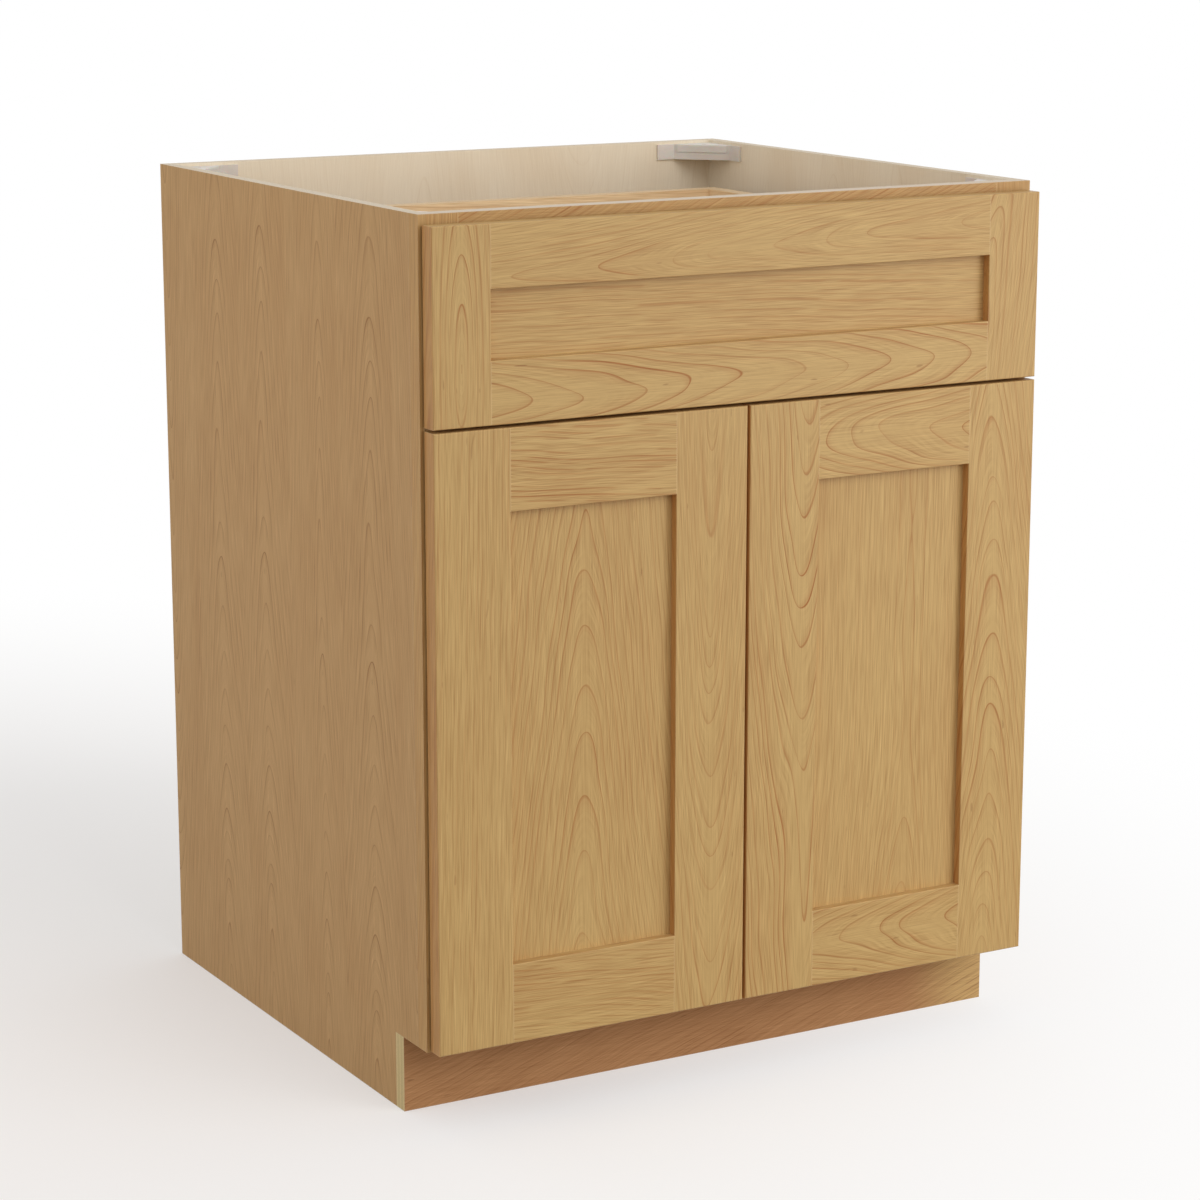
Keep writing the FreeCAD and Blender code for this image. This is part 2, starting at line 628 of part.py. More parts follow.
def cup_bore():
    return rod(CUP_DIAMETER, CUP_DEPTH + OVERRUN, V(CUP_X, FRONT_THICKNESS - CUP_DEPTH, 0), V(0, 1, 0))


def cup_room():
    return rod(CUP_INNER, FRONT_THICKNESS + OVERRUN - CUP_FLOOR, V(CUP_X, CUP_FLOOR, 0), V(0, 1, 0))


def hinge_cup():
    """Cup with a flat flange on the back of the door and two bosses that hold the pin."""
    shell = rod(CUP_OUTER, CUP_DEPTH, V(CUP_X, FRONT_THICKNESS - CUP_DEPTH, 0), V(0, 1, 0))
    middle = CUP_X + FLANGE_OFFSET
    flange = block(middle - FLANGE_HALF_WIDTH, middle + FLANGE_HALF_WIDTH, FRONT_THICKNESS,
                   FRONT_THICKNESS + FLANGE_THICKNESS, -FLANGE_HALF_LENGTH, FLANGE_HALF_LENGTH)
    cup = shell.fuse(flange).cut(cup_room())
    half = BOSS_SIZE / 2
    start = ARM_HALF_WIDTH + ARM_SIDE_PLAY
    for sign in (-1, 1):
        boss = block(PIN_X - half, PIN_X + half, CUP_FLOOR - CUP_WALL, PIN_Y + half,
                     sign * start, sign * CUP_DIAMETER / 2)
        cup = cup.fuse(boss.common(shell))
    return cup.cut(hinge_pin())


def hinge_pin():
    half = ARM_HALF_WIDTH + ARM_SIDE_PLAY + BOSS_SIZE / 2
    return rod(PIN_DIAMETER, 2 * half, V(PIN_X, PIN_Y, -half), V(0, 0, 1))


def hinge_arm():
    """Strip rolled round the pin, bent out of the cup and wrapped round the face stile."""
    frame_front = FRONT_THICKNESS + FRONT_GAP
    stile_edge = FRAME_STILE_WIDTH - SIDE_REVEAL
    half = ARM_THICKNESS / 2
    rise = PIN_Y - EYE_OUTER / 2 + half
    landing = frame_front - half
    path = [V(PIN_X, rise, -ARM_HALF_WIDTH), V(PIN_X + ARM_FLAT, rise, -ARM_HALF_WIDTH),
            V(stile_edge - ARM_LANDING_RUN, landing, -ARM_HALF_WIDTH),
            V(stile_edge + ARM_THICKNESS, landing, -ARM_HALF_WIDTH)]
    strip = bent_strip(path, ARM_THICKNESS, V(0, 0, 2 * ARM_HALF_WIDTH))
    bends = [path[1].x, path[2].x]
    strip = eased(strip, ARM_BEND, lambda box: box.ZLength > ARM_HALF_WIDTH and
                  min(abs(box.XMin - x) for x in bends) < ARM_THICKNESS)
    eye = rod(EYE_OUTER, 2 * ARM_HALF_WIDTH, V(PIN_X, PIN_Y, -ARM_HALF_WIDTH), V(0, 0, 1))
    plate = block(stile_edge, stile_edge + ARM_THICKNESS, frame_front - ARM_THICKNESS,
                  frame_front + ARM_PLATE_DEPTH, -ARM_PLATE_HALF_HEIGHT, ARM_PLATE_HALF_HEIGHT)
    bore = rod(EYE_BORE, 2 * CUP_DIAMETER, V(PIN_X, PIN_Y, -CUP_DIAMETER), V(0, 0, 1))
    return strip.fuse([eye, plate]).cut(bore)


def left_hinge_arms():
    return [at_hinge(hinge_arm(), height) for height in hinge_heights()]


def left_door_pieces():
    pieces = framed_front(DOOR_WIDTH, DOOR_HEIGHT, DOOR_STILE_WIDTH, DOOR_RAIL_WIDTH)
    corner = door_corner()
    hinge_stile, free_stile, bottom, top, panel = [moved(piece, corner.x, corner.y, corner.z)
                                                   for piece in pieces]
    hinge_stile = hinge_stile.cut([at_hinge(cup_bore(), height) for height in hinge_heights()])
    return {
        "hinge_stile": [hinge_stile],
        "free_stile": [free_stile],
        "bottom_rail": [bottom],
        "top_rail": [top],
        "panel": [panel],
        "hinge_cups": [at_hinge(hinge_cup(), height) for height in hinge_heights()],
        "hinge_pins": [at_hinge(hinge_pin(), height) for height in hinge_heights()],
        "bumpers": left_door_bumpers(),
    }


# Write the pieces

def save_pair(name, solids):
    """Write a left piece or group and its mirror image on the right."""
    save(name + "_left", *solids)
    save(name + "_right", *[mirrored(solid) for solid in solids])


def save_case():
    save_pair("side_panel", [side_panel_left()])
    save("back_panel", back_panel())
    save("bottom_panel", bottom_panel())
    save("toe_kick_board", toe_kick_board())
    save_pair("face_stile", [face_stile_left()])
    save("face_rail_top", face_rail(CASE_HEIGHT - TOP_RAIL_WIDTH, CASE_HEIGHT))
    save("face_rail_middle", face_rail(MIDDLE_RAIL_BOTTOM, MIDDLE_RAIL_TOP))
    save("face_rail_bottom", face_rail(TOE_HEIGHT, FLOOR_TOP))
    save("shelf", shelf())
    save("shelf_pegs", *shelf_pegs())
    save("corner_braces", *[corner_brace(*place) for place in brace_corners()])
    save_pair("hinge_arms", left_hinge_arms())


def save_slides():
    fixed, on_beam, on_drawer = slide_glides()
    bracket = slide_rear_bracket()
    save_pair("slide_cabinet_rail", [slide_cabinet_rail_left()])
    save("slide_front_glides", fixed, mirrored(fixed))
    save("slide_rear_brackets", bracket, mirrored(bracket))
    save_pair("slide_middle_rail", [slide_middle_rail_left()])
    save("slide_middle_glides", *on_beam, *[mirrored(one) for one in on_beam])
    save_pair("slide_drawer_rail", [slide_drawer_rail_left()])
    save("slide_drawer_glides", on_drawer, mirrored(on_drawer))


def save_drawer():
    save_pair("drawer_side", [drawer_side_left()])
    save("drawer_box_front", drawer_end_board(DRAWER_FRONT_Y))
    save("drawer_box_back", drawer_box_back())
    save("drawer_bottom", bottom_sheet(JOINT_PLAY))
    clip = drawer_clip()
    save("drawer_clips", clip, mirrored(clip))
    names = ("stile_left", "stile_right", "rail_bottom", "rail_top", "panel")
    for name, piece in zip(names, drawer_front_pieces()):
        save("drawer_front_" + name, piece)
    save("drawer_bumpers", *drawer_bumpers())


def save_doors():
    for name, solids in left_door_pieces().items():
        save("door_left_" + name, *solids)
        save("door_right_" + name, *[mirrored(solid) for solid in solids])


save_case()
save_slides()
save_drawer()
save_doors()
print("Hinge axis x", HINGE_AXIS_X, "y", HINGE_AXIS_Y + FACE_Y)
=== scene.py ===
import math
import random

import bmesh
import bpy
from mathutils import Matrix, Vector


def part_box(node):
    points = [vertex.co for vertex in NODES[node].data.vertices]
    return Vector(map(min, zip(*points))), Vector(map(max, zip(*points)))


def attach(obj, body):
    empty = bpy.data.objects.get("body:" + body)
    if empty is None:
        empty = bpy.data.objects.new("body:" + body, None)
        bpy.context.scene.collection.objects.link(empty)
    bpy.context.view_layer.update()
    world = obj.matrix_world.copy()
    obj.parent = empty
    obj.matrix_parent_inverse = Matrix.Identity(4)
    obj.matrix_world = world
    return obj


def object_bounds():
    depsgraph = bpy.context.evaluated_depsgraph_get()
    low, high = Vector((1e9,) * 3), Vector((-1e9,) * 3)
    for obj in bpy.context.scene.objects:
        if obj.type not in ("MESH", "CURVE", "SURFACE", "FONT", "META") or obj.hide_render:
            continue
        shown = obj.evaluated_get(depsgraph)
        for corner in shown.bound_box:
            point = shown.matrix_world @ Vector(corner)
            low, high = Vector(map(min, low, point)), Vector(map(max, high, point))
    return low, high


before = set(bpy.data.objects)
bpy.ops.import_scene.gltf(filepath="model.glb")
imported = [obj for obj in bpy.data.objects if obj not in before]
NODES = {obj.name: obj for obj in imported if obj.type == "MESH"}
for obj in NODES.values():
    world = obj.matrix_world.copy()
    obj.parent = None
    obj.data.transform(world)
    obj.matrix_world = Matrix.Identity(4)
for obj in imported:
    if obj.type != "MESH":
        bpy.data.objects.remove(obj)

# Kitchen base cabinet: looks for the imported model. Metres, in the frame of the part.
# Wood grain is worked out in object coordinates from rings round a tilted pith, so it
# stays with its board in every pose.

CAD_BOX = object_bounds()
MILLI = 0.001


def srgb(red, green, blue):
    """Linear colour of an sRGB colour given from 0 to 255."""
    def linear(value):
        value = value / 255
        return value / 12.92 if value <= 0.04045 else ((value + 0.055) / 1.055) ** 2.4
    return (linear(red), linear(green), linear(blue), 1.0)


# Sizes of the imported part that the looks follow
FACE_Y = -0.294075              # front of the face frame
HALF_WIDTH = 0.3429
SIDE_THICKNESS = 0.0127
CASE_TOP = 0.8763
FRAME_BACK = 0.01905            # behind FACE_Y, as is every depth below
BACK_PANEL_FRONT = 0.5969

# Screws: where they are, and the diameter and height of their heads
HINGE_LEVELS = (("low", 0.1667), ("high", 0.5887))
ARM_SCREW_X = 0.3004
ARM_SCREW_DEPTH = 0.014
ARM_HEAD = (0.0085, 0.0022)
CUP_X = 0.3117
CUP_FLANGE_DEPTH = -0.0016
CUP_SCREW_STEPS = (("lower", -0.0225), ("upper", 0.0225))
CUP_HEAD = (0.0075, 0.0012)
BRACKET_X = 0.2616
BRACKET_SCREW_STEPS = (("inner", -0.0175), ("outer", 0.0175))
BRACKET_SCREW_DEPTH = 0.5944
BRACKET_SCREW_LEVEL = 0.734
BRACKET_HEAD = (0.0075, 0.0022)
CLIP_X = 0.2366
CLIP_SCREW_DEPTHS = (("front", 0.024), ("rear", 0.042))
CLIP_UNDERSIDE = 0.71675
CLIP_HEAD = (0.007, 0.0012)
DRAWER_SCREW_X = 0.2
DRAWER_SCREW_DEPTH = 0.0135
DRAWER_SCREW_LEVELS = (("lower", 0.745), ("upper", 0.812))
DRAWER_HEAD = (0.0105, 0.0024)
HEAD_STEPS = 32
HEAD_SHARES = ((1.0, 0.0), (1.0, 0.35), (0.93, 0.62), (0.74, 0.86), (0.52, 0.96), (0.34, 1.0), (0.2, 1.0))
RECESS_REACH = 0.6              # cross recess: how far out, how wide and how deep, as shares
RECESS_HALF_WIDTH = 0.09
RECESS_FLOOR = 0.35
RECESS_CENTRE = 0.3
MOST_SPIN = 1.5                 # radians that a head is turned by at most

# Lip on the diagonal wall of each corner brace
LIP_SIZE = (0.058, 0.0018, 0.0084)
LIP_ROUNDING = 0.0006
ROUNDING_STEPS = 3
BRACE_WALL = 0.02465            # from the corner to the middle of the diagonal wall, along X and Y
LIP_BEFORE_WALL = 0.0013
BRACE_PLATE = 0.0032
LIP_BELOW_PLATE = 0.0046

# Each noise in the grain: waves per metre across, into and along the board, detail, roughness
WAVES = {
    "slow": ((8, 8, 2.4), 1.0, 0.5),
    "quick": ((40, 40, 11), 0.0, 0.5),
    "patch": ((17, 17, 8), 2.0, 0.5),
    "gap": ((120, 120, 17), 1.0, 0.5),
    "strand": ((1300, 1300, 21), 2.0, 0.6),
    "blotch": ((13, 13, 5), 2.0, 0.5),
    "fleck": ((260, 260, 48), 0.0, 0.5),
}
FINE_WAVES = (1350, 6, 24)      # of the fine streaks: across the rings, then across and along
FINE_DETAIL = (1.5, 0.6)
QUICK_SHARE = 0.17              # of the wander, for the quick waves
YEAR_WAVES = 0.42               # the rings' widths swing with this many waves a ring
YEAR_SWING = 1.3
LEAST_SLOPE = 0.03
LINE_BEFORE = (0.0018, 0.0003)  # a ring's line starts and is full this far before the ring's end
LINE_AFTER = (0.0008, 0.0)      # and has faded out this far after it
LINE_SHADE = (0.009, 0.0, 0.0, 0.3)
LINE_WEIGHTS = (0.0, 1.0, 0.5, 1.3)
LINE_PATCHES = (0.3, 0.62, 0.5, 1.0)
LINE_GAPS = (0.38, 0.5)
LINE_CALM = (0.3, 1.0, 1.0, 0.5)    # steeply cut rings have weaker lines
FINE_CALM = (0.1, 0.45, 0.15, 1.0)  # and flatly cut rings have weaker streaks
FLECK_RANGE = (0.83, 0.90)

# Leaves of a veneer: how many are turned, and how far they are shifted and stretched
TURNED_LEAVES = 0.28
LEAF_SHIFT = 0.16
LEAF_OFFSET = 0.3
LEAF_STRETCH = 0.7
LEAF_SEED = 0.37
STRETCH_SEED = 0.53
STRAIGHT_BLEND = 0.06           # length over which arches run out into straight lines
SEED_SPREAD = (3, 40)           # metres from the origin that a board's grain is taken from

# How the parts of the grain work on colour, roughness and height
CLOUD_RANGE = (0.4, 0.75)
CLOUD_SHARE = 0.4
LINE_SHARE = 0.85
FINE_TONE = 0.65
FIBRE_TONE = 0.75
TONE_TINT = (0.78, 1.0, 1.25)
FLECK_TINT = (0.55, 0.5, 0.45)
FLECK_SHARE = 0.4
ROUGH_SHARES = {"Fibre": 0.16, "Line": 0.05}
HEIGHT_SHARES = {"Fine": 0.5, "Line": -0.35, "Fleck": -0.5}
WOOD_LIFT = 0.00018
WOOD_BUMP = 0.35
SOLID_GLOSS = 0.42
SOLID_SHINE = 0.25
VENEER_GLOSS = 0.56
VENEER_SHINE = 0.16

# How far a normal has to point along an axis, from none of it to all of it
FACE_RANGE = (0.5, 0.85)
EDGE_RANGE = (0.35, 0.8)
LIT_TOP_SPARED_RANGE = (0.3, 0.8)
RAW_TOP_RANGE = (0.6, 0.9)

# Lighter edges, wear plus a painted highlight along the arrises: how wide it is and how strong
WEAR_AND_HIGHLIGHT_SAMPLES = 4
WOOD_WEAR_AND_HIGHLIGHT = 0.0016
FITTING_WEAR_AND_HIGHLIGHT = 0.0007
WEAR_AND_HIGHLIGHT_RANGE = (0.995, 0.80)
SOLID_WEAR_AND_HIGHLIGHT_SHARE = 0.32
VENEER_WEAR_AND_HIGHLIGHT_SHARE = 0.2
FITTING_WEAR_AND_HIGHLIGHT_SHARE = 0.5

# A thin surface layer starts at the first depth and is full at the second
SKIN_START = 0.0006
SKIN_FULL = 0.0003
FAR_SKIN_FULL = 0.0004

# Colours of the woods
FRONT_BASE = srgb(199, 165, 108)
FRONT_LINE = srgb(162, 99, 47)
FRONT_RED = srgb(189, 150, 95)
FRAME_BASE = srgb(189, 151, 97)
EDGE_TINT = (1.06, 0.87, 0.75, 1.0)
FRAME_EDGE = (1.2, 1.17, 1.09, 1.0)
# Lighter colour of the arrises of solid wood: wear and a painted highlight
WORN_AND_HIGHLIT_SOLID = srgb(230, 207, 165)
RAW_WOOD = srgb(213, 193, 166)
DRAWER_WOOD = dict(base=srgb(228, 201, 162), line=srgb(196, 150, 104), red=srgb(222, 188, 144),
                   edge=(0.72, 0.54, 0.44, 1.0), strength=0.8, ends_only=True)
VENEERS = {
    "pale": dict(base=srgb(243, 230, 207), line=srgb(214, 190, 155), red=srgb(232, 212, 182),
                 strength=0.25, texture=0.18),
    "tan": dict(base=srgb(210, 170, 119), line=srgb(158, 110, 66), red=srgb(198, 154, 104),
                strength=0.75, texture=0.9),
}
TOE_BASE = srgb(188, 140, 96)
TOE_LINE = srgb(151, 102, 65)
TOE_RED = srgb(179, 130, 87)
# Painted light: the toe board's colour lightens towards its right end, standing in for light that reaches
# it there past the shade of the doors
PAINTED_LIT_END = (0.238, 0.325)      # the toe board gets lighter to the right between these
PAINTED_LIT_END_BASE = srgb(213, 176, 119)
PAINTED_LIT_END_RED = srgb(205, 166, 110)
PLY_LIGHT = srgb(229, 214, 190)
PLY_DARK = srgb(160, 130, 92)
TOE_PLY_LIGHT = srgb(232, 210, 156)
# Lighter colour of veneered edges: wear and a painted highlight
WORN_AND_HIGHLIT_VENEER = srgb(238, 226, 204)
PLY_FIBRE = 0.4
DARK_PLY = 0.16
GLUE_LINE = 0.30
GLUE_HALF_WIDTH = 0.10
PLY_START = 1000                # keeps the count of the plies above zero

# Fittings: two colours, waves per metre, roughness and its spread, then shader settings
FITTINGS = {
    "plated_steel": (srgb(203, 205, 206), srgb(186, 189, 192), 60, 0.34, 0.25, {"Metallic": 1.0}),
    "brace_plastic": (srgb(228, 221, 213), srgb(218, 210, 201), 40, 0.38, 0.2,
                      {"Subsurface Weight": 0.25, "Subsurface Scale": 0.004}),
    "nylon": (srgb(88, 89, 91), srgb(74, 75, 78), 70, 0.42, 0.2, {}),
    "rubber": (srgb(212, 210, 204), srgb(196, 194, 188), 90, 0.5, 0.2, {}),
}
FITTED_NODES = {
    "plated_steel": ("hinge_arms_left", "hinge_arms_right", "slide_cabinet_rail_left",
                     "slide_cabinet_rail_right", "slide_middle_rail_left", "slide_middle_rail_right",
                     "slide_drawer_rail_left", "slide_drawer_rail_right", "shelf_pegs",
                     "door_left_hinge_cups", "door_right_hinge_cups", "door_left_hinge_pins",
                     "door_right_hinge_pins"),
    "brace_plastic": ("corner_braces",),
    "nylon": ("slide_front_glides", "slide_middle_glides", "slide_drawer_glides",
              "slide_rear_brackets", "drawer_clips"),
    "rubber": ("drawer_bumpers", "door_left_bumpers", "door_right_bumpers"),
}
FITTING_GRIT = 14               # grit is finer than the mottle by this
MOTTLE_DETAIL = 3.0
GRIT_DETAIL = 2.0
FITTING_MOTTLE = (0.3, 0.7)
FITTING_LIFT = 0.0001
FITTING_BUMP = 0.3
POLISH_AND_HIGHLIGHT_GAIN = 1.12
POLISH_AND_HIGHLIGHT_LIFT = 0.02

# Floor, lamps and camera
FLOOR_REACH = 40
FLOOR_SQUARES = 8
FLOOR_DROP = 0.0002
FLOOR_WAVES = 0.9
FLOOR_DETAIL = 2.0
FLOOR_MOTTLE = (0.2, 0.8)
FLOOR_DARK = (0.32, 0.27, 0.22, 1)
FLOOR_LIGHT = (0.35, 0.3, 0.25, 1)
FLOOR_SEEN = (0.97, 0.94, 0.92, 1)
GLOW_CENTRE = (-0.95, 0.4, 0.0)
GLOW_RANGE = (0.5, 2.2, 0.3, 1.0)
WHITE = (1, 1, 1, 1)
WORLD_STRENGTHS = (0.65, 1.0)   # as light, and as seen
SUN_ENERGY = 0.575
SUN_ANGLE = 34
SUN_COLOUR = (1.0, 0.985, 0.96)
SUN_AIM = (0.17, -0.8, 0.56)
# Name, diameter, watts, place and what it is aimed at
LAMPS = (("right_light", 1.6, 20, (1.5, -2.2, 0.85), (0.0, -0.2, 0.45)),
         ("left_light", 0.6, 2.0, (-1.5, 0.0, 0.92), (-0.34, 0.0, 0.75)))
CAMERA_LENS = 100.33
CAMERA_SENSOR = 36
CAMERA_REACH = 200
CAMERA_PLACE = (-1.6937, -3.010575, 1.1832)
CAMERA_TILT = 77.64
CAMERA_TURN = -29.56


class Graph:
    """Builds a node tree by short calls. A value may be a number, a tuple or a socket."""

    def __init__(self, tree):
        self.tree = tree
        tree.nodes.clear()

    def node(self, kind, **settings):
        node = self.tree.nodes.new(kind)
        for key, value in settings.items():
            setattr(node, key, value)
        return node

    def put(self, socket, value):
        if isinstance(value, bpy.types.NodeSocket):
            self.tree.links.new(value, socket)
        else:
            socket.default_value = value

    def math(self, operation, *values):
        node = self.node("ShaderNodeMath", operation=operation)
        for socket, value in zip(node.inputs, values):
            self.put(socket, value)
        return node.outputs[0]

    def total(self, first, *rest):
        for value in rest:
            first = self.math("ADD", first, value)
        return first

    def times(self, first, *rest):
        for value in rest:
            first = self.math("MULTIPLY", first, value)
        return first

    def vector(self, operation, *values):
        node = self.node("ShaderNodeVectorMath", operation=operation)
        for socket, value in zip(node.inputs, values):
            self.put(socket, value)
        return node.outputs["Vector"]

    def scaled(self, vector, scale):
        node = self.node("ShaderNodeVectorMath", operation="SCALE")
        self.put(node.inputs[0], vector)
        self.put(node.inputs["Scale"], scale)
        return node.outputs["Vector"]

    def parts(self, vector):
        node = self.node("ShaderNodeSeparateXYZ")
        self.put(node.inputs[0], vector)
        return dict(zip("XYZ", node.outputs))

    def combine(self, x, y, z):
        node = self.node("ShaderNodeCombineXYZ")
        for socket, value in zip(node.inputs, (x, y, z)):
            self.put(socket, value)
        return node.outputs[0]

    def noise(self, vector, detail, roughness=0.5, colour=False):
        node = self.node("ShaderNodeTexNoise", noise_dimensions="3D")
        self.put(node.inputs["Vector"], vector)
        self.put(node.inputs["Scale"], 1.0)
        self.put(node.inputs["Detail"], detail)
        self.put(node.inputs["Roughness"], roughness)
        return node.outputs["Color" if colour else "Fac"]

    def noise_line(self, value):
        node = self.node("ShaderNodeTexNoise", noise_dimensions="1D")
        self.put(node.inputs["W"], value)
        self.put(node.inputs["Scale"], 1.0)
        self.put(node.inputs["Detail"], 1.0)
        return node.outputs["Fac"]

    def chance(self, value):
        node = self.node("ShaderNodeTexWhiteNoise", noise_dimensions="1D")
        self.put(node.inputs["W"], value)
        return node.outputs["Value"]

    def remap(self, value, low, high, to_low=0.0, to_high=1.0, smooth=True):
        node = self.node("ShaderNodeMapRange")
        node.interpolation_type = "SMOOTHSTEP" if smooth else "LINEAR"
        for socket, item in zip(node.inputs, (value, low, high, to_low, to_high)):
            self.put(socket, item)
        return node.outputs[0]

    def mix(self, factor, first, second, blend="MIX"):
        node = self.node("ShaderNodeMix", data_type="RGBA", blend_type=blend)
        for index, value in ((0, factor), (6, first), (7, second)):
            self.put(node.inputs[index], value)
        return node.outputs[2]

    def object_coordinates(self):
        return self.node("ShaderNodeTexCoord").outputs["Object"]

    def object_normal(self):
        node = self.node("ShaderNodeTexCoord")
        return self.parts(self.vector("NORMALIZE", node.outputs["Normal"]))

    def seen_directly(self):
        """1 for rays of the camera, of gloss and through glass, for the floor and the backdrop."""
        path = self.node("ShaderNodeLightPath").outputs
        glossy_or_through = self.math("MAXIMUM", path["Is Glossy Ray"], path["Is Transmission Ray"])
        return self.math("MAXIMUM", path["Is Camera Ray"], glossy_or_through)


def grain_group():
    """Rings round a tilted pith. Point is (across, depth, along) in metres from the pith."""
    tree = bpy.data.node_groups.new("wood_grain", "ShaderNodeTree")
    inputs = (("Point", "Vector"), ("Seed", "Vector"), ("Taper", "Float"), ("Tilt", "Float"),
              ("Ring", "Float"), ("Wander", "Float"), ("Broken", "Float"))
    for name, kind in inputs:
        tree.interface.new_socket(name=name, in_out="INPUT", socket_type="NodeSocket" + kind)
    for name in ("Line", "Fine", "Fibre", "Blotch", "Fleck"):
        tree.interface.new_socket(name=name, in_out="OUTPUT", socket_type="NodeSocketFloat")
    g = Graph(tree)
    source = g.node("NodeGroupInput").outputs
    sink = g.node("NodeGroupOutput").inputs
    point, ring = source["Point"], source["Ring"]
    placed = g.vector("ADD", point, source["Seed"])

    def waves(kind, colour=False):
        scales, detail, roughness = WAVES[kind]
        return g.noise(g.vector("MULTIPLY", placed, scales), detail, roughness, colour)

    # The board's points are bent a little, so that rings wander
    half = (0.5, 0.5, 0.5)
    slow = g.vector("SUBTRACT", waves("slow", colour=True), half)
    quick = g.vector("SUBTRACT", waves("quick", colour=True), half)
    bent = g.vector("ADD", point, g.scaled(slow, source["Wander"]))
    bent = g.vector("ADD", bent, g.scaled(quick, g.times(source["Wander"], QUICK_SHARE)))
    at = g.parts(bent)

    # Number of the ring and the place within it
    depth = g.total(at["Y"], g.times(at["Z"], source["Tilt"]))
    reach = g.math("SQRT", g.total(g.times(at["X"], at["X"]), g.times(depth, depth)))
    radius = g.total(reach, g.times(at["Z"], source["Taper"]))
    years = g.math("DIVIDE", radius, ring)
    offset = g.parts(source["Seed"])["X"]
    swing = g.noise_line(g.total(g.times(years, YEAR_WAVES), offset))
    years = g.total(years, g.times(swing, YEAR_SWING))
    part = g.math("FRACT", years)
    age = g.math("FLOOR", years)

    # How steeply the board's face cuts the rings, and so how wide a ring shows
    sideways = g.math("DIVIDE", at["X"], reach)
    lengthways = g.total(g.times(g.math("DIVIDE", depth, reach), source["Tilt"]), source["Taper"])
    slope = g.math("SQRT", g.total(g.times(sideways, sideways), g.times(lengthways, lengthways)))
    slope = g.math("MAXIMUM", slope, LEAST_SLOPE)
    span = g.math("DIVIDE", ring, slope)
    ahead = g.times(g.math("SUBTRACT", 1.0, part), span)

    core = g.math("MAXIMUM", g.remap(ahead, *LINE_BEFORE), g.remap(g.times(part, span), *LINE_AFTER))
    line = g.math("MAXIMUM", core, g.remap(ahead, *LINE_SHADE))
    weight = g.remap(g.chance(g.total(age, offset)), *LINE_WEIGHTS, smooth=False)
    patch = g.remap(waves("patch"), *LINE_PATCHES)
    gaps = g.math("SUBTRACT", 1.0, g.remap(waves("gap"), *LINE_GAPS))
    patch = g.times(patch, g.math("SUBTRACT", 1.0, g.times(source["Broken"], gaps)))
    g.put(sink["Line"], g.times(line, weight, patch, g.remap(slope, *LINE_CALM)))

    spread, across, along = FINE_WAVES
    across_rings = g.combine(g.times(radius, spread), g.times(at["X"], across), g.times(at["Z"], along))
    fine = g.math("SUBTRACT", g.noise(across_rings, *FINE_DETAIL), 0.5)
    g.put(sink["Fine"], g.times(fine, g.remap(slope, *FINE_CALM)))
    g.put(sink["Fibre"], g.math("SUBTRACT", waves("strand"), 0.5))
    g.put(sink["Blotch"], waves("blotch"))
    g.put(sink["Fleck"], g.remap(waves("fleck"), *FLECK_RANGE))
    return tree


GRAIN = grain_group()


def new_material(name):
    material = bpy.data.materials.new(name)
    material.use_nodes = True
    return material, Graph(material.node_tree)


def finish_surface(g, colour, roughness, height, lift, strength, settings):
    """Principled shader with a bump, wired to the output."""
    shader = g.node("ShaderNodeBsdfPrincipled")
    g.put(shader.inputs["Base Color"], colour)
    g.put(shader.inputs["Roughness"], roughness)
    for name, value in settings.items():
        shader.inputs[name].default_value = value
    bump = g.node("ShaderNodeBump")
    bump.inputs["Strength"].default_value = strength
    bump.inputs["Distance"].default_value = lift
    g.put(bump.inputs["Height"], height)
    g.put(shader.inputs["Normal"], bump.outputs[0])
    out = g.node("ShaderNodeOutputMaterial")
    g.put(out.inputs[0], shader.outputs[0])


def worn_and_highlit_edge(g, radius):
    """1 on sharp edges, 0 on faces. Used to lighten edges, as wear and as a painted highlight."""
    bevel = g.node("ShaderNodeBevel", samples=WEAR_AND_HIGHLIGHT_SAMPLES)
    bevel.inputs["Radius"].default_value = radius
    plain = g.node("ShaderNodeNewGeometry").outputs["Normal"]
    node = g.node("ShaderNodeVectorMath", operation="DOT_PRODUCT")
    g.put(node.inputs[0], bevel.outputs[0])
    g.put(node.inputs[1], plain)
    return g.remap(node.outputs["Value"], *WEAR_AND_HIGHLIGHT_RANGE)


def lay_leaves(g, across, along, leaf, seed):
    """Splits a veneer into leaves as wide as leaf, each shifted, some of them turned end for end."""
    count = g.math("FLOOR", g.math("DIVIDE", across, leaf))
    middle = g.times(g.total(count, 0.5), leaf)
    across = g.math("SUBTRACT", across, middle)
    luck = g.chance(g.total(count, seed * LEAF_SEED))
    turned = g.math("SUBTRACT", 1.0, g.times(g.math("LESS_THAN", luck, TURNED_LEAVES), 2.0))
    along = g.times(g.total(along, g.times(luck, LEAF_SHIFT)), turned)
    across = g.total(across, g.times(g.math("SUBTRACT", luck, 0.5), leaf * LEAF_OFFSET))
    stretch = g.times(g.chance(g.total(count, seed * STRETCH_SEED)), LEAF_STRETCH)
    across = g.times(across, g.total(LEAF_STRETCH, stretch))
    return across, along


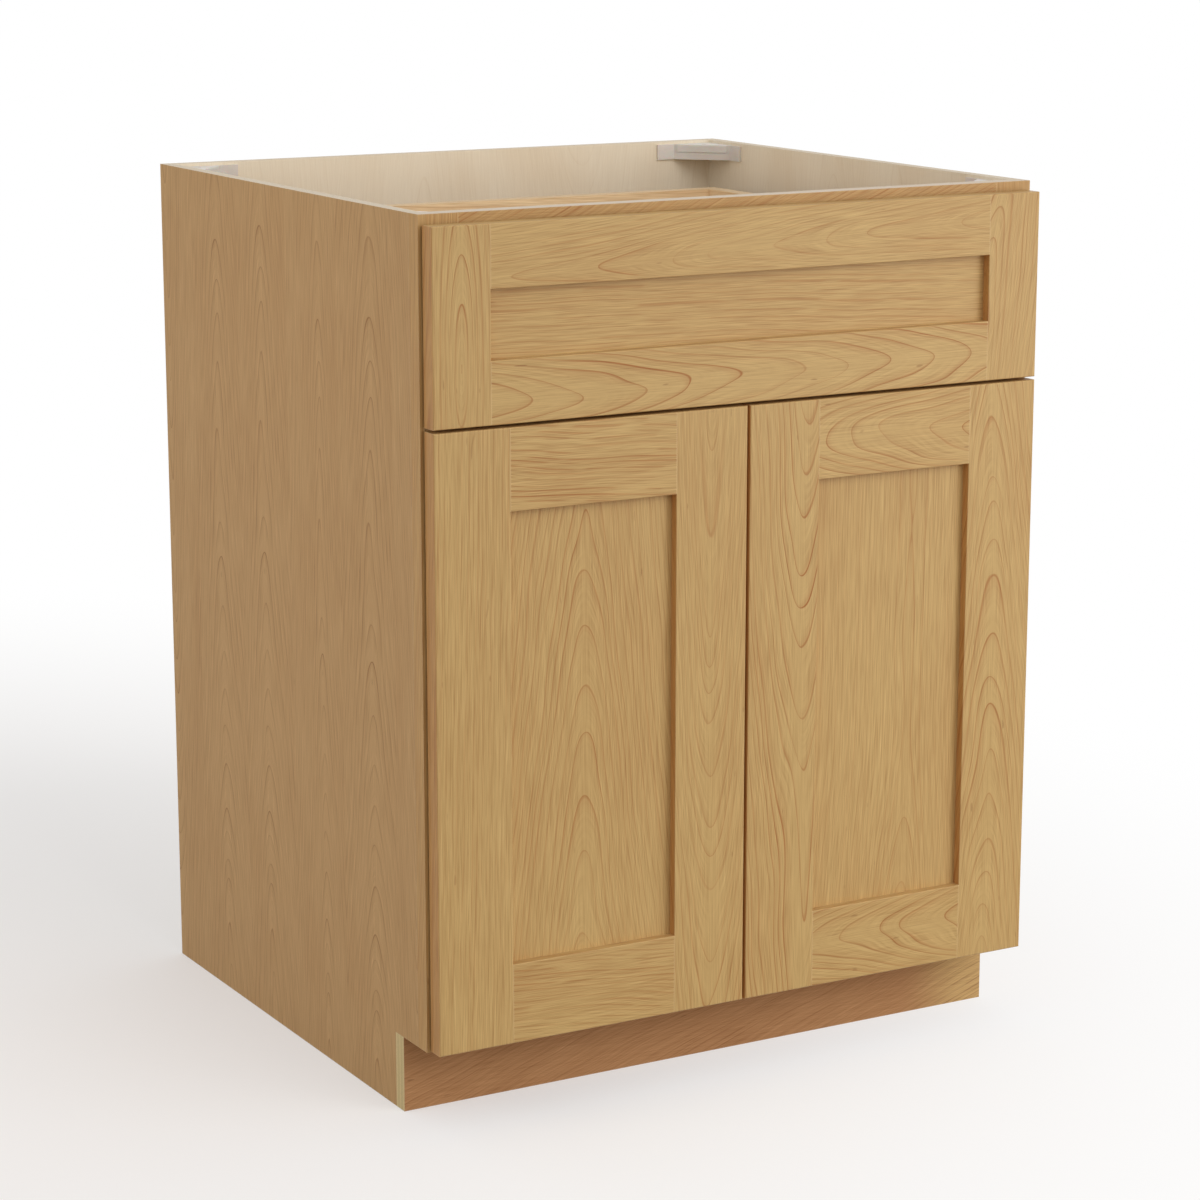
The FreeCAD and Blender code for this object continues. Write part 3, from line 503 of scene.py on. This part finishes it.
def grain(g, seat, axes, pith, taper, ring, wander, seed, leaf=None, tilt=0.0, skew=0.0, broken=0.0,
          straight_from=None):
    """Adds the grain group. axes names the object axes that run across, into and along the board.
    seat is the object-space point that pith, in metres (across, depth, along), is measured from.
    Arches point along the board with a positive taper and back with a negative one.
    Farther than straight_from along the board from the pith's point the lines run straight."""
    local = g.parts(g.vector("SUBTRACT", g.object_coordinates(), tuple(seat)))
    across, deep, along = (local[axis] for axis in axes)
    if leaf:
        across, along = lay_leaves(g, across, along, leaf, seed)
    along = g.math("SUBTRACT", along, pith[2])
    across = g.math("SUBTRACT", across, g.total(pith[0], g.times(along, skew)))
    point = g.combine(across, g.math("SUBTRACT", deep, pith[1]), along)
    if straight_from:
        held = g.math("SMOOTH_MIN", along, straight_from, STRAIGHT_BLEND)
        taper = g.times(g.math("DIVIDE", held, along), taper)
    luck = random.Random(seed)
    node = g.node("ShaderNodeGroup", node_tree=GRAIN)
    g.put(node.inputs["Point"], point)
    node.inputs["Seed"].default_value = [luck.uniform(*SEED_SPREAD) for _ in range(3)]
    values = {"Taper": taper, "Tilt": tilt, "Ring": ring, "Wander": wander, "Broken": broken}
    for name, value in values.items():
        g.put(node.inputs[name], value)
    return node.outputs


def wood_colour(g, found, base, line, red, strength=1.0, texture=1.0):
    """Base colour with reddish clouds, ring lines, fine streaks and flecks."""
    colour = g.mix(g.times(g.remap(found["Blotch"], *CLOUD_RANGE), CLOUD_SHARE), base, red)
    colour = g.mix(g.times(found["Line"], LINE_SHARE * strength), colour, line)
    tone = g.total(g.times(found["Fine"], FINE_TONE * texture),
                   g.times(found["Fibre"], FIBRE_TONE * texture))
    colour = g.vector("MULTIPLY", colour, g.vector("MULTIPLY_ADD", tone, TONE_TINT, (1, 1, 1)))
    dark = tuple(channel * tint for channel, tint in zip(line, FLECK_TINT)) + (1.0,)
    return g.mix(g.times(found["Fleck"], FLECK_SHARE * strength), colour, dark)


def wood_finish(g, found, colour, gloss, shine):
    """Gloss and height of wood that follow its grain."""
    def shares_of(table):
        return (g.times(found[name], share) for name, share in table.items())
    rough = g.total(gloss, *shares_of(ROUGH_SHARES))
    height = g.total(found["Fibre"], *shares_of(HEIGHT_SHARES))
    finish_surface(g, colour, rough, height, WOOD_LIFT, WOOD_BUMP, {"Specular IOR Level": shine})


def facing(g, normal, axis, span=FACE_RANGE):
    """1 on faces square to an axis of the object."""
    return g.remap(g.math("ABSOLUTE", normal[axis]), *span)


def solid_wood(name, seat, axes, pith, taper, ring, wander, seed, base=FRONT_BASE, line=FRONT_LINE,
               red=FRONT_RED, strength=1.0, edge=EDGE_TINT, raw_top=False, ends_only=False,
               tilt=0.0, skew=0.0, broken=0.0, straight_from=None):
    """Finished solid wood. edge tints the edges and ends, or with ends_only the end grain alone. Faces
    turned up are left out of the tint, so on the fronts they stay lighter than the darkened sides:
    painted light from above.
    raw_top leaves what is level with the top of the case without stain."""
    material, g = new_material(name)
    found = grain(g, seat, axes, pith, taper, ring, wander, seed, tilt=tilt, skew=skew, broken=broken,
                  straight_from=straight_from)
    colour = wood_colour(g, found, base, line, red, strength)
    normal = g.object_normal()
    if ends_only:
        side = facing(g, normal, axes[2])
    else:
        side = g.math("SUBTRACT", 1.0, facing(g, normal, axes[1], EDGE_RANGE))
        # Faces turned up are spared the tint and stay lighter on the fronts: painted light from above
        side = g.times(side, g.remap(normal["Z"], *LIT_TOP_SPARED_RANGE, 1.0, 0.0))
    colour = g.mix(side, colour, g.mix(1.0, colour, edge, "MULTIPLY"))
    # Edges lightened: part wear, part painted highlight along the arrises
    colour = g.mix(g.times(worn_and_highlit_edge(g, WOOD_WEAR_AND_HIGHLIGHT), SOLID_WEAR_AND_HIGHLIGHT_SHARE), colour, WORN_AND_HIGHLIT_SOLID)
    if raw_top:
        up = g.remap(normal["Z"], *RAW_TOP_RANGE)
        level = g.parts(g.object_coordinates())["Z"]
        high = g.remap(level, CASE_TOP - SKIN_START, CASE_TOP - SKIN_FULL)
        colour = g.mix(g.times(up, high), colour, RAW_WOOD)
    wood_finish(g, found, colour, SOLID_GLOSS, SOLID_SHINE)
    return material


def ply_layers(g, place, sheet):
    """Tone of the plies on a cut edge: alternate plies darker, with a fine glue line between."""
    count = g.math("DIVIDE", place, sheet)
    part = g.math("FRACT", count)
    odd = g.math("FLOOR", g.math("MODULO", g.math("FLOOR", g.total(count, PLY_START)), 2.0))
    glue = g.math("SUBTRACT", 1.0, g.remap(g.math("PINGPONG", part, 0.5), 0.0, GLUE_HALF_WIDTH))
    return g.total(g.times(odd, DARK_PLY), g.times(glue, GLUE_LINE))


def veneer_colour(g, found, kind):
    """Colour of a kind of face: pale, tan or toe. The toe's colour lightens towards its right end, which
    is painted light.
    """
    if kind == "toe":
        # Painted light: lighter towards the right end of the toe board
        painted_lit_end = g.remap(g.parts(g.object_coordinates())["X"], *PAINTED_LIT_END)
        base = g.mix(painted_lit_end, TOE_BASE, PAINTED_LIT_END_BASE)
        red = g.mix(painted_lit_end, TOE_RED, PAINTED_LIT_END_RED)
        return wood_colour(g, found, base, TOE_LINE, red)
    return wood_colour(g, found, **VENEERS[kind])


def plywood(name, seat, axes, thickness, plies, seed, faces=("pale", "pale"), leaf=0.19,
            taper=0.1, ring=0.006, wander=0.02, pith=(0, -0.02, 0), broken=0.0, core_base=PLY_LIGHT):
    """Veneered sheet. faces are the kinds of its low and high face along the depth axis."""
    material, g = new_material(name)
    normal = g.object_normal()
    found = grain(g, seat, axes, pith, taper, ring, wander, seed, leaf=leaf, broken=broken)
    place = g.parts(g.vector("SUBTRACT", g.object_coordinates(), tuple(seat)))[axes[1]]
    colour = veneer_colour(g, found, faces[0])
    if faces[1] != faces[0]:
        far = g.remap(place, thickness - SKIN_START, thickness - FAR_SKIN_FULL)
        colour = g.mix(far, colour, veneer_colour(g, found, faces[1]))
    core = g.mix(ply_layers(g, place, thickness / plies), core_base, PLY_DARK)
    core = g.scaled(core, g.total(1.0, g.times(found["Fibre"], PLY_FIBRE)))
    near_skin = g.remap(place, SKIN_START, SKIN_FULL)
    far_skin = g.remap(place, thickness - SKIN_START, thickness - SKIN_FULL)
    outer = g.math("MAXIMUM", near_skin, far_skin)
    colour = g.mix(g.times(facing(g, normal, axes[1]), outer), core, colour)
    # Edges lightened: part wear, part painted highlight along the arrises
    colour = g.mix(g.times(worn_and_highlit_edge(g, WOOD_WEAR_AND_HIGHLIGHT), VENEER_WEAR_AND_HIGHLIGHT_SHARE), colour, WORN_AND_HIGHLIT_VENEER)
    wood_finish(g, found, colour, VENEER_GLOSS, VENEER_SHINE)
    return material


def fitting_material(name):
    """Moulded plastic, rubber or plated metal: a faint mottle, fine grain, and edges lightened as polish
    and as a painted highlight.
    """
    base, other, scale, roughness, spread, settings = FITTINGS[name]
    material, g = new_material(name)
    place = g.object_coordinates()
    cloud = g.noise(g.scaled(place, scale), MOTTLE_DETAIL)
    grit = g.noise(g.scaled(place, scale * FITTING_GRIT), GRIT_DETAIL)
    colour = g.mix(g.remap(cloud, *FITTING_MOTTLE), base, other)
    # Edges lightened by polish and by a painted highlight
    bright = tuple(min(1.0, channel * POLISH_AND_HIGHLIGHT_GAIN + POLISH_AND_HIGHLIGHT_LIFT) for channel in base[:3]) + (1.0,)
    colour = g.mix(g.times(worn_and_highlit_edge(g, FITTING_WEAR_AND_HIGHLIGHT), FITTING_WEAR_AND_HIGHLIGHT_SHARE), colour, bright)
    rough = g.total(roughness, g.times(g.math("SUBTRACT", cloud, 0.5), spread),
                    g.times(g.math("SUBTRACT", grit, 0.5), spread))
    finish_surface(g, colour, rough, grit, FITTING_LIFT, FITTING_BUMP, settings)
    return material


def wear(node, material):
    """Gives a CAD node one material in all its slots."""
    slots = NODES[node].material_slots
    if not slots:
        NODES[node].data.materials.append(material)
    for slot in slots:
        slot.material = material


# Grain of each board of the fronts and the face frame. Axes: across, into, along.
# Pith in millimetres from the middle of the board's front face (across, before the face, along),
# taper, ring and wander in millimetres, strength of the lines, then tilt, skew and broken.
UP = "XYZ"
LEVEL = "ZYX"
BOARDS = {
    "door_left_panel": (UP, (-4, 24, 0), 0.12, 6.4, 34, 1.0, 0.0, 0.0, 0.1),
    "door_left_hinge_stile": (UP, (95, 60, 0), 0.02, 4.2, 14, 0.6, 0.0, 0.0, 0.4),
    "door_left_free_stile": (UP, (2, 6, 300), -0.05, 5.0, 20, 0.7, -0.05, 0.0, 0.2),
    "door_left_top_rail": (LEVEL, (-120, 70, 0), 0.09, 4.2, 30, 1.2, 0.0, 0.0, 0.8),
    "door_left_bottom_rail": (LEVEL, (-140, 60, 0), 0.11, 4.4, 30, 1.1, 0.0, 0.0, 0.8),
    "door_right_panel": (UP, (22, 25, -330), 0.085, 4.8, 16, 0.5, 0.0, 0.02, 0.3),
    "door_right_free_stile": (UP, (21, 30, 0), -0.078, 5.4, 34, 1.0, 0.0, 0.0, 0.0),
    "door_right_hinge_stile": (UP, (-8, 18, 0), 0.12, 5.0, 28, 0.75, 0.0, 0.0, 0.1),
    "door_right_top_rail": (LEVEL, (-3, 38, 0), -0.13, 5.2, 34, 0.95, 0.0, 0.0, 0.1),
    "door_right_bottom_rail": (LEVEL, (2, 34, 0), -0.13, 5.2, 34, 0.95, 0.0, 0.0, 0.1),
    "drawer_front_panel": (LEVEL, (-160, 70, 0), 0.04, 4.4, 22, 0.8, 0.0, 0.0, 0.7),
    "drawer_front_stile_left": (UP, (-2, 4, -6), 0.0, 5.4, 12, 0.85, 0.12, 0.0, 0.1),
    "drawer_front_stile_right": (UP, (-40, 20, 0), 0.16, 4.8, 20, 1.0, 0.0, 0.25, 0.1),
    "drawer_front_rail_top": (LEVEL, (2, 16, 230), -0.07, 4.8, 22, 0.75, 0.0, 0.04, 0.5),
    "drawer_front_rail_bottom": (LEVEL, (-4, 42, 0), 0.085, 5.0, 32, 1.0, 0.0, 0.0, 0.0),
    "face_stile_left": (UP, (60, 40, 0), 0.04, 3.8, 12, 0.8, 0.0, 0.0, 0.4),
    "face_stile_right": (UP, (-60, 40, 0), 0.04, 3.8, 12, 0.8, 0.0, 0.0, 0.4),
    "face_rail_top": (LEVEL, (50, 40, 0), 0.3, 3.8, 16, 1.0, 0.0, 0.0, 0.3),
    "face_rail_middle": (LEVEL, (-50, 40, 0), 0.05, 3.8, 12, 0.8, 0.0, 0.0, 0.4),
    "face_rail_bottom": (LEVEL, (60, 40, 0), 0.05, 3.8, 12, 0.8, 0.0, 0.0, 0.4),
}
STRAIGHT_FROM = {"door_right_panel": 0.25}      # metres along the board from the pith's point
FIRST_BOARD_SEED = 11

# Side panels: seed and the kinds of the low and high face. Then what both have alike
SIDE_SHEETS = {"left": (33, ("tan", "pale")), "right": (35, ("pale", "tan"))}
SIDE_GRAIN = dict(leaf=0.118, ring=0.0055, taper=0.11, wander=0.03, pith=(0, -0.012, 0))
SIDE_PLIES = 5
TOE_GRAIN = dict(leaf=None, taper=-0.26, ring=0.005, pith=(-0.11, -0.06, 0.05), broken=0.4)
TOE_PLIES = 5
TOE_SEED = 77

# Pale sheets: name of the material, axes, plies and seed
CASE_SHEETS = {
    "back_panel": ("ply_back", "XYZ", 5, 41),
    "bottom_panel": ("ply_bottom", "YZX", 5, 43),
    "shelf": ("ply_shelf", "YZX", 7, 47),
}
DRAWER_SHEETS = {"drawer_bottom": ("ply_drawer_bottom", "YZX", 3, 68)}

# Boards of the drawer box: axes, pith and seed
DRAWER_BOARDS = {
    "drawer_side_left": ("ZXY", (0.03, -0.04, -0.2), 60),
    "drawer_side_right": ("ZXY", (0.03, -0.04, -0.2), 61),
    "drawer_box_front": ("ZYX", (0.05, -0.04, -0.1), 64),
    "drawer_box_back": ("ZYX", (0.05, -0.04, -0.1), 65),
}
DRAWER_GRAIN = (0.05, 0.0048, 0.014)    # taper, ring and wander


def front_seat(node):
    """Middle of a board's front face."""
    low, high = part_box(node)
    return ((low.x + high.x) / 2, low.y, (low.z + high.z) / 2)


def dress_fronts():
    """Doors, drawer front and face frame."""
    for index, (node, row) in enumerate(BOARDS.items()):
        axes, pith, taper, ring, wander, strength, tilt, skew, broken = row
        across, before, along = (length * MILLI for length in pith)
        in_frame = node.startswith("face_")
        material = solid_wood("wood_" + node, front_seat(node), axes, (across, -before, along), taper,
                              ring * MILLI, wander * MILLI, FIRST_BOARD_SEED + index,
                              strength=strength, tilt=tilt, skew=skew, broken=broken,
                              straight_from=STRAIGHT_FROM.get(node),
                              base=FRAME_BASE if in_frame else FRONT_BASE, raw_top=in_frame,
                              edge=FRAME_EDGE if in_frame else EDGE_TINT)
        wear(node, material)


def dress_sheets(sheets):
    """Pale plywood on both faces."""
    for node, (name, axes, plies, seed) in sheets.items():
        low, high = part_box(node)
        deep = "XYZ".index(axes[1])
        wear(node, plywood(name, low, axes, high[deep] - low[deep], plies, seed))


def dress_case():
    for side, (seed, faces) in SIDE_SHEETS.items():
        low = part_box("side_panel_" + side)[0]
        seat = (low.x, 0.0, 0.0)
        wear("side_panel_" + side, plywood("ply_side_" + side, seat, "YXZ", SIDE_THICKNESS, SIDE_PLIES,
                                           seed, faces, **SIDE_GRAIN))
    low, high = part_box("toe_kick_board")
    wear("toe_kick_board", plywood("ply_toe", front_seat("toe_kick_board"), LEVEL, high.y - low.y,
                                   TOE_PLIES, TOE_SEED, ("toe", "toe"), core_base=TOE_PLY_LIGHT,
                                   **TOE_GRAIN))
    dress_sheets(CASE_SHEETS)


def dress_drawer():
    """Boards and bottom of the drawer box."""
    for node, (axes, pith, seed) in DRAWER_BOARDS.items():
        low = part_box(node)[0]
        wear(node, solid_wood("wood_" + node, low, axes, pith, *DRAWER_GRAIN, seed, **DRAWER_WOOD))
    dress_sheets(DRAWER_SHEETS)


def dress_fittings():
    """Gives the fittings their materials, and returns these by slot."""
    materials = {slot: fitting_material(slot) for slot in FITTINGS}
    for slot, nodes in FITTED_NODES.items():
        for node in nodes:
            wear(node, materials[slot])
    return materials


def mesh_data(name, mesh):
    """Mesh data made from a bmesh, which is freed."""
    data = bpy.data.meshes.new(name)
    mesh.to_mesh(data)
    mesh.free()
    return data


def link_object(name, data):
    item = bpy.data.objects.new(name, data)
    bpy.context.scene.collection.objects.link(item)
    return item


def add_piece(name, mesh, place, material):
    """Object of one material, made from a bmesh and moved to its place."""
    data = mesh_data(name, mesh)
    data.transform(place)
    data.materials.append(material)
    return link_object(name, data)


def screw_head(name, place, outward, head, body, steel):
    """Domed screw head with a cross recess, closed at the back. place is on the surface.
    head is its diameter and height."""
    diameter, height = head
    mesh = bmesh.new()
    rows = []
    for radius, rise in HEAD_SHARES:
        row = []
        for index in range(HEAD_STEPS):
            angle = 2 * math.pi * index / HEAD_STEPS
            from_arm = abs((angle + math.pi / 4) % (math.pi / 2) - math.pi / 4)
            deep = radius < RECESS_REACH and from_arm * radius < RECESS_HALF_WIDTH
            lift = RECESS_FLOOR if deep else rise
            row.append(mesh.verts.new((radius * math.cos(angle) * diameter / 2,
                                       radius * math.sin(angle) * diameter / 2, lift * height)))
        rows.append(row)
    centre = mesh.verts.new((0, 0, RECESS_CENTRE * height))
    for lower, upper in zip(rows, rows[1:]):
        for index in range(HEAD_STEPS):
            after = (index + 1) % HEAD_STEPS
            mesh.faces.new((lower[index], lower[after], upper[after], upper[index]))
    for index in range(HEAD_STEPS):
        mesh.faces.new((rows[-1][index], rows[-1][(index + 1) % HEAD_STEPS], centre))
    mesh.faces.new(list(reversed(rows[0])))
    turn = Vector((0, 0, 1)).rotation_difference(Vector(outward)).to_matrix().to_4x4()
    spin = Matrix.Rotation(random.Random(name).uniform(0, MOST_SPIN), 4, "Z")
    piece = add_piece(name, mesh, Matrix.Translation(Vector(place)) @ turn @ spin, steel)
    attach(piece, body)


def fit_screws(steel):
    """Screw heads of the hinges, slide brackets, clips and the drawer front."""
    for side, sign in (("left", -1), ("right", 1)):
        for level, z in HINGE_LEVELS:
            screw_head("screw_hinge_arm_" + level + "_" + side,
                       (sign * ARM_SCREW_X, FACE_Y + ARM_SCREW_DEPTH, z), (-sign, 0, 0), ARM_HEAD,
                       "case", steel)
            for end, step in CUP_SCREW_STEPS:
                screw_head("screw_cup_" + level + "_" + end + "_" + side,
                           (sign * CUP_X, FACE_Y + CUP_FLANGE_DEPTH, z + step), (0, 1, 0), CUP_HEAD,
                           "door_" + side, steel)
        for spot, step in BRACKET_SCREW_STEPS:
            screw_head("screw_bracket_" + spot + "_" + side,
                       (sign * (BRACKET_X + step), FACE_Y + BRACKET_SCREW_DEPTH, BRACKET_SCREW_LEVEL),
                       (0, -1, 0), BRACKET_HEAD, "case", steel)
        for spot, depth in CLIP_SCREW_DEPTHS:
            screw_head("screw_clip_" + spot + "_" + side, (sign * CLIP_X, FACE_Y + depth, CLIP_UNDERSIDE),
                       (0, 0, -1), CLIP_HEAD, "drawer", steel)
        for spot, z in DRAWER_SCREW_LEVELS:
            screw_head("screw_drawer_front_" + spot + "_" + side,
                       (sign * DRAWER_SCREW_X, FACE_Y + DRAWER_SCREW_DEPTH, z), (0, 1, 0), DRAWER_HEAD,
                       "drawer", steel)


def fit_brace_lips(plastic):
    """Raised upper band on the diagonal of each corner brace."""
    inner = HALF_WIDTH - SIDE_THICKNESS
    middle = BRACE_WALL + LIP_BEFORE_WALL / math.sqrt(2)
    level = CASE_TOP - BRACE_PLATE - LIP_BELOW_PLATE
    for side, sign in (("left", -1), ("right", 1)):
        for end, depth, inward in (("front", FRAME_BACK, 1), ("rear", BACK_PANEL_FRONT, -1)):
            mesh = bmesh.new()
            bmesh.ops.create_cube(mesh, size=1.0)
            bmesh.ops.scale(mesh, vec=LIP_SIZE, verts=mesh.verts)
            bmesh.ops.bevel(mesh, geom=mesh.edges[:], offset=LIP_ROUNDING, segments=ROUNDING_STEPS,
                            profile=0.5, affect="EDGES")
            turn = Matrix.Rotation(sign * inward * math.pi / 4, 4, "Z")
            place = Vector((sign * (inner - middle), FACE_Y + depth + inward * middle, level))
            piece = add_piece("brace_lip_" + end + "_" + side, mesh, Matrix.Translation(place) @ turn,
                              plastic)
            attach(piece, "case")


def floor_material():
    """Pale floor. To the camera and in gloss it glows white, but less near GLOW_CENTRE, where the
    shadow lies."""
    material, g = new_material("floor")
    seen = g.seen_directly()
    place = g.object_coordinates()
    paint = g.node("ShaderNodeBsdfDiffuse")
    cloud = g.noise(g.scaled(place, FLOOR_WAVES), FLOOR_DETAIL)
    tone = g.mix(g.remap(cloud, *FLOOR_MOTTLE), FLOOR_DARK, FLOOR_LIGHT)
    g.put(paint.inputs["Color"], g.mix(seen, tone, FLOOR_SEEN))
    distance = g.node("ShaderNodeVectorMath", operation="LENGTH")
    g.put(distance.inputs[0], g.vector("SUBTRACT", place, GLOW_CENTRE))
    glow = g.node("ShaderNodeEmission")
    glow.inputs["Color"].default_value = WHITE
    glow.inputs["Strength"].default_value = 1.0
    mixed = g.node("ShaderNodeMixShader")
    g.put(mixed.inputs[0], g.times(seen, g.remap(distance.outputs["Value"], *GLOW_RANGE)))
    g.put(mixed.inputs[1], paint.outputs[0])
    g.put(mixed.inputs[2], glow.outputs[0])
    out = g.node("ShaderNodeOutputMaterial")
    g.put(out.inputs[0], mixed.outputs[0])
    return material


def add_floor():
    mesh = bmesh.new()
    bmesh.ops.create_grid(mesh, x_segments=FLOOR_SQUARES, y_segments=FLOOR_SQUARES, size=FLOOR_REACH)
    floor = link_object("floor", mesh_data("floor", mesh))
    floor.location.z = CAD_BOX[0][2] - FLOOR_DROP
    floor.data.materials.append(floor_material())


def add_lamp(data, place, aim):
    """Adds a lamp that shines from the side that aim points to."""
    lamp = link_object(data.name, data)
    lamp.location = place
    lamp.rotation_euler = aim.to_track_quat("Z", "Y").to_euler()


def add_light():
    """Bright backdrop, a soft sun and two lamps."""
    world = bpy.data.worlds.new("studio")
    bpy.context.scene.world = world
    world.use_nodes = True
    g = Graph(world.node_tree)
    back = g.node("ShaderNodeBackground")
    back.inputs["Color"].default_value = WHITE
    g.put(back.inputs["Strength"], g.remap(g.seen_directly(), 0.0, 1.0, *WORLD_STRENGTHS, smooth=False))
    out = g.node("ShaderNodeOutputWorld")
    g.put(out.inputs[0], back.outputs[0])
    sun = bpy.data.lights.new("key", "SUN")
    sun.energy = SUN_ENERGY
    sun.angle = math.radians(SUN_ANGLE)
    sun.color = SUN_COLOUR
    add_lamp(sun, (0, 0, 0), Vector(SUN_AIM))
    for name, size, energy, place, target in LAMPS:
        disk = bpy.data.lights.new(name, "AREA")
        disk.shape = "DISK"
        disk.size = size
        disk.energy = energy
        add_lamp(disk, place, Vector(place) - Vector(target))


def add_camera():
    data = bpy.data.cameras.new("camera")
    data.lens = CAMERA_LENS
    data.sensor_width = CAMERA_SENSOR
    data.clip_end = CAMERA_REACH
    camera = link_object("camera", data)
    camera.location = CAMERA_PLACE
    camera.rotation_euler = (math.radians(CAMERA_TILT), 0, math.radians(CAMERA_TURN))
    bpy.context.scene.camera = camera


add_camera()
add_light()
add_floor()
dress_fronts()
dress_case()
dress_drawer()
fitting_materials = dress_fittings()
fit_screws(fitting_materials["plated_steel"])
fit_brace_lips(fitting_materials["brace_plastic"])

bpy.context.scene.view_settings.view_transform = "Standard"
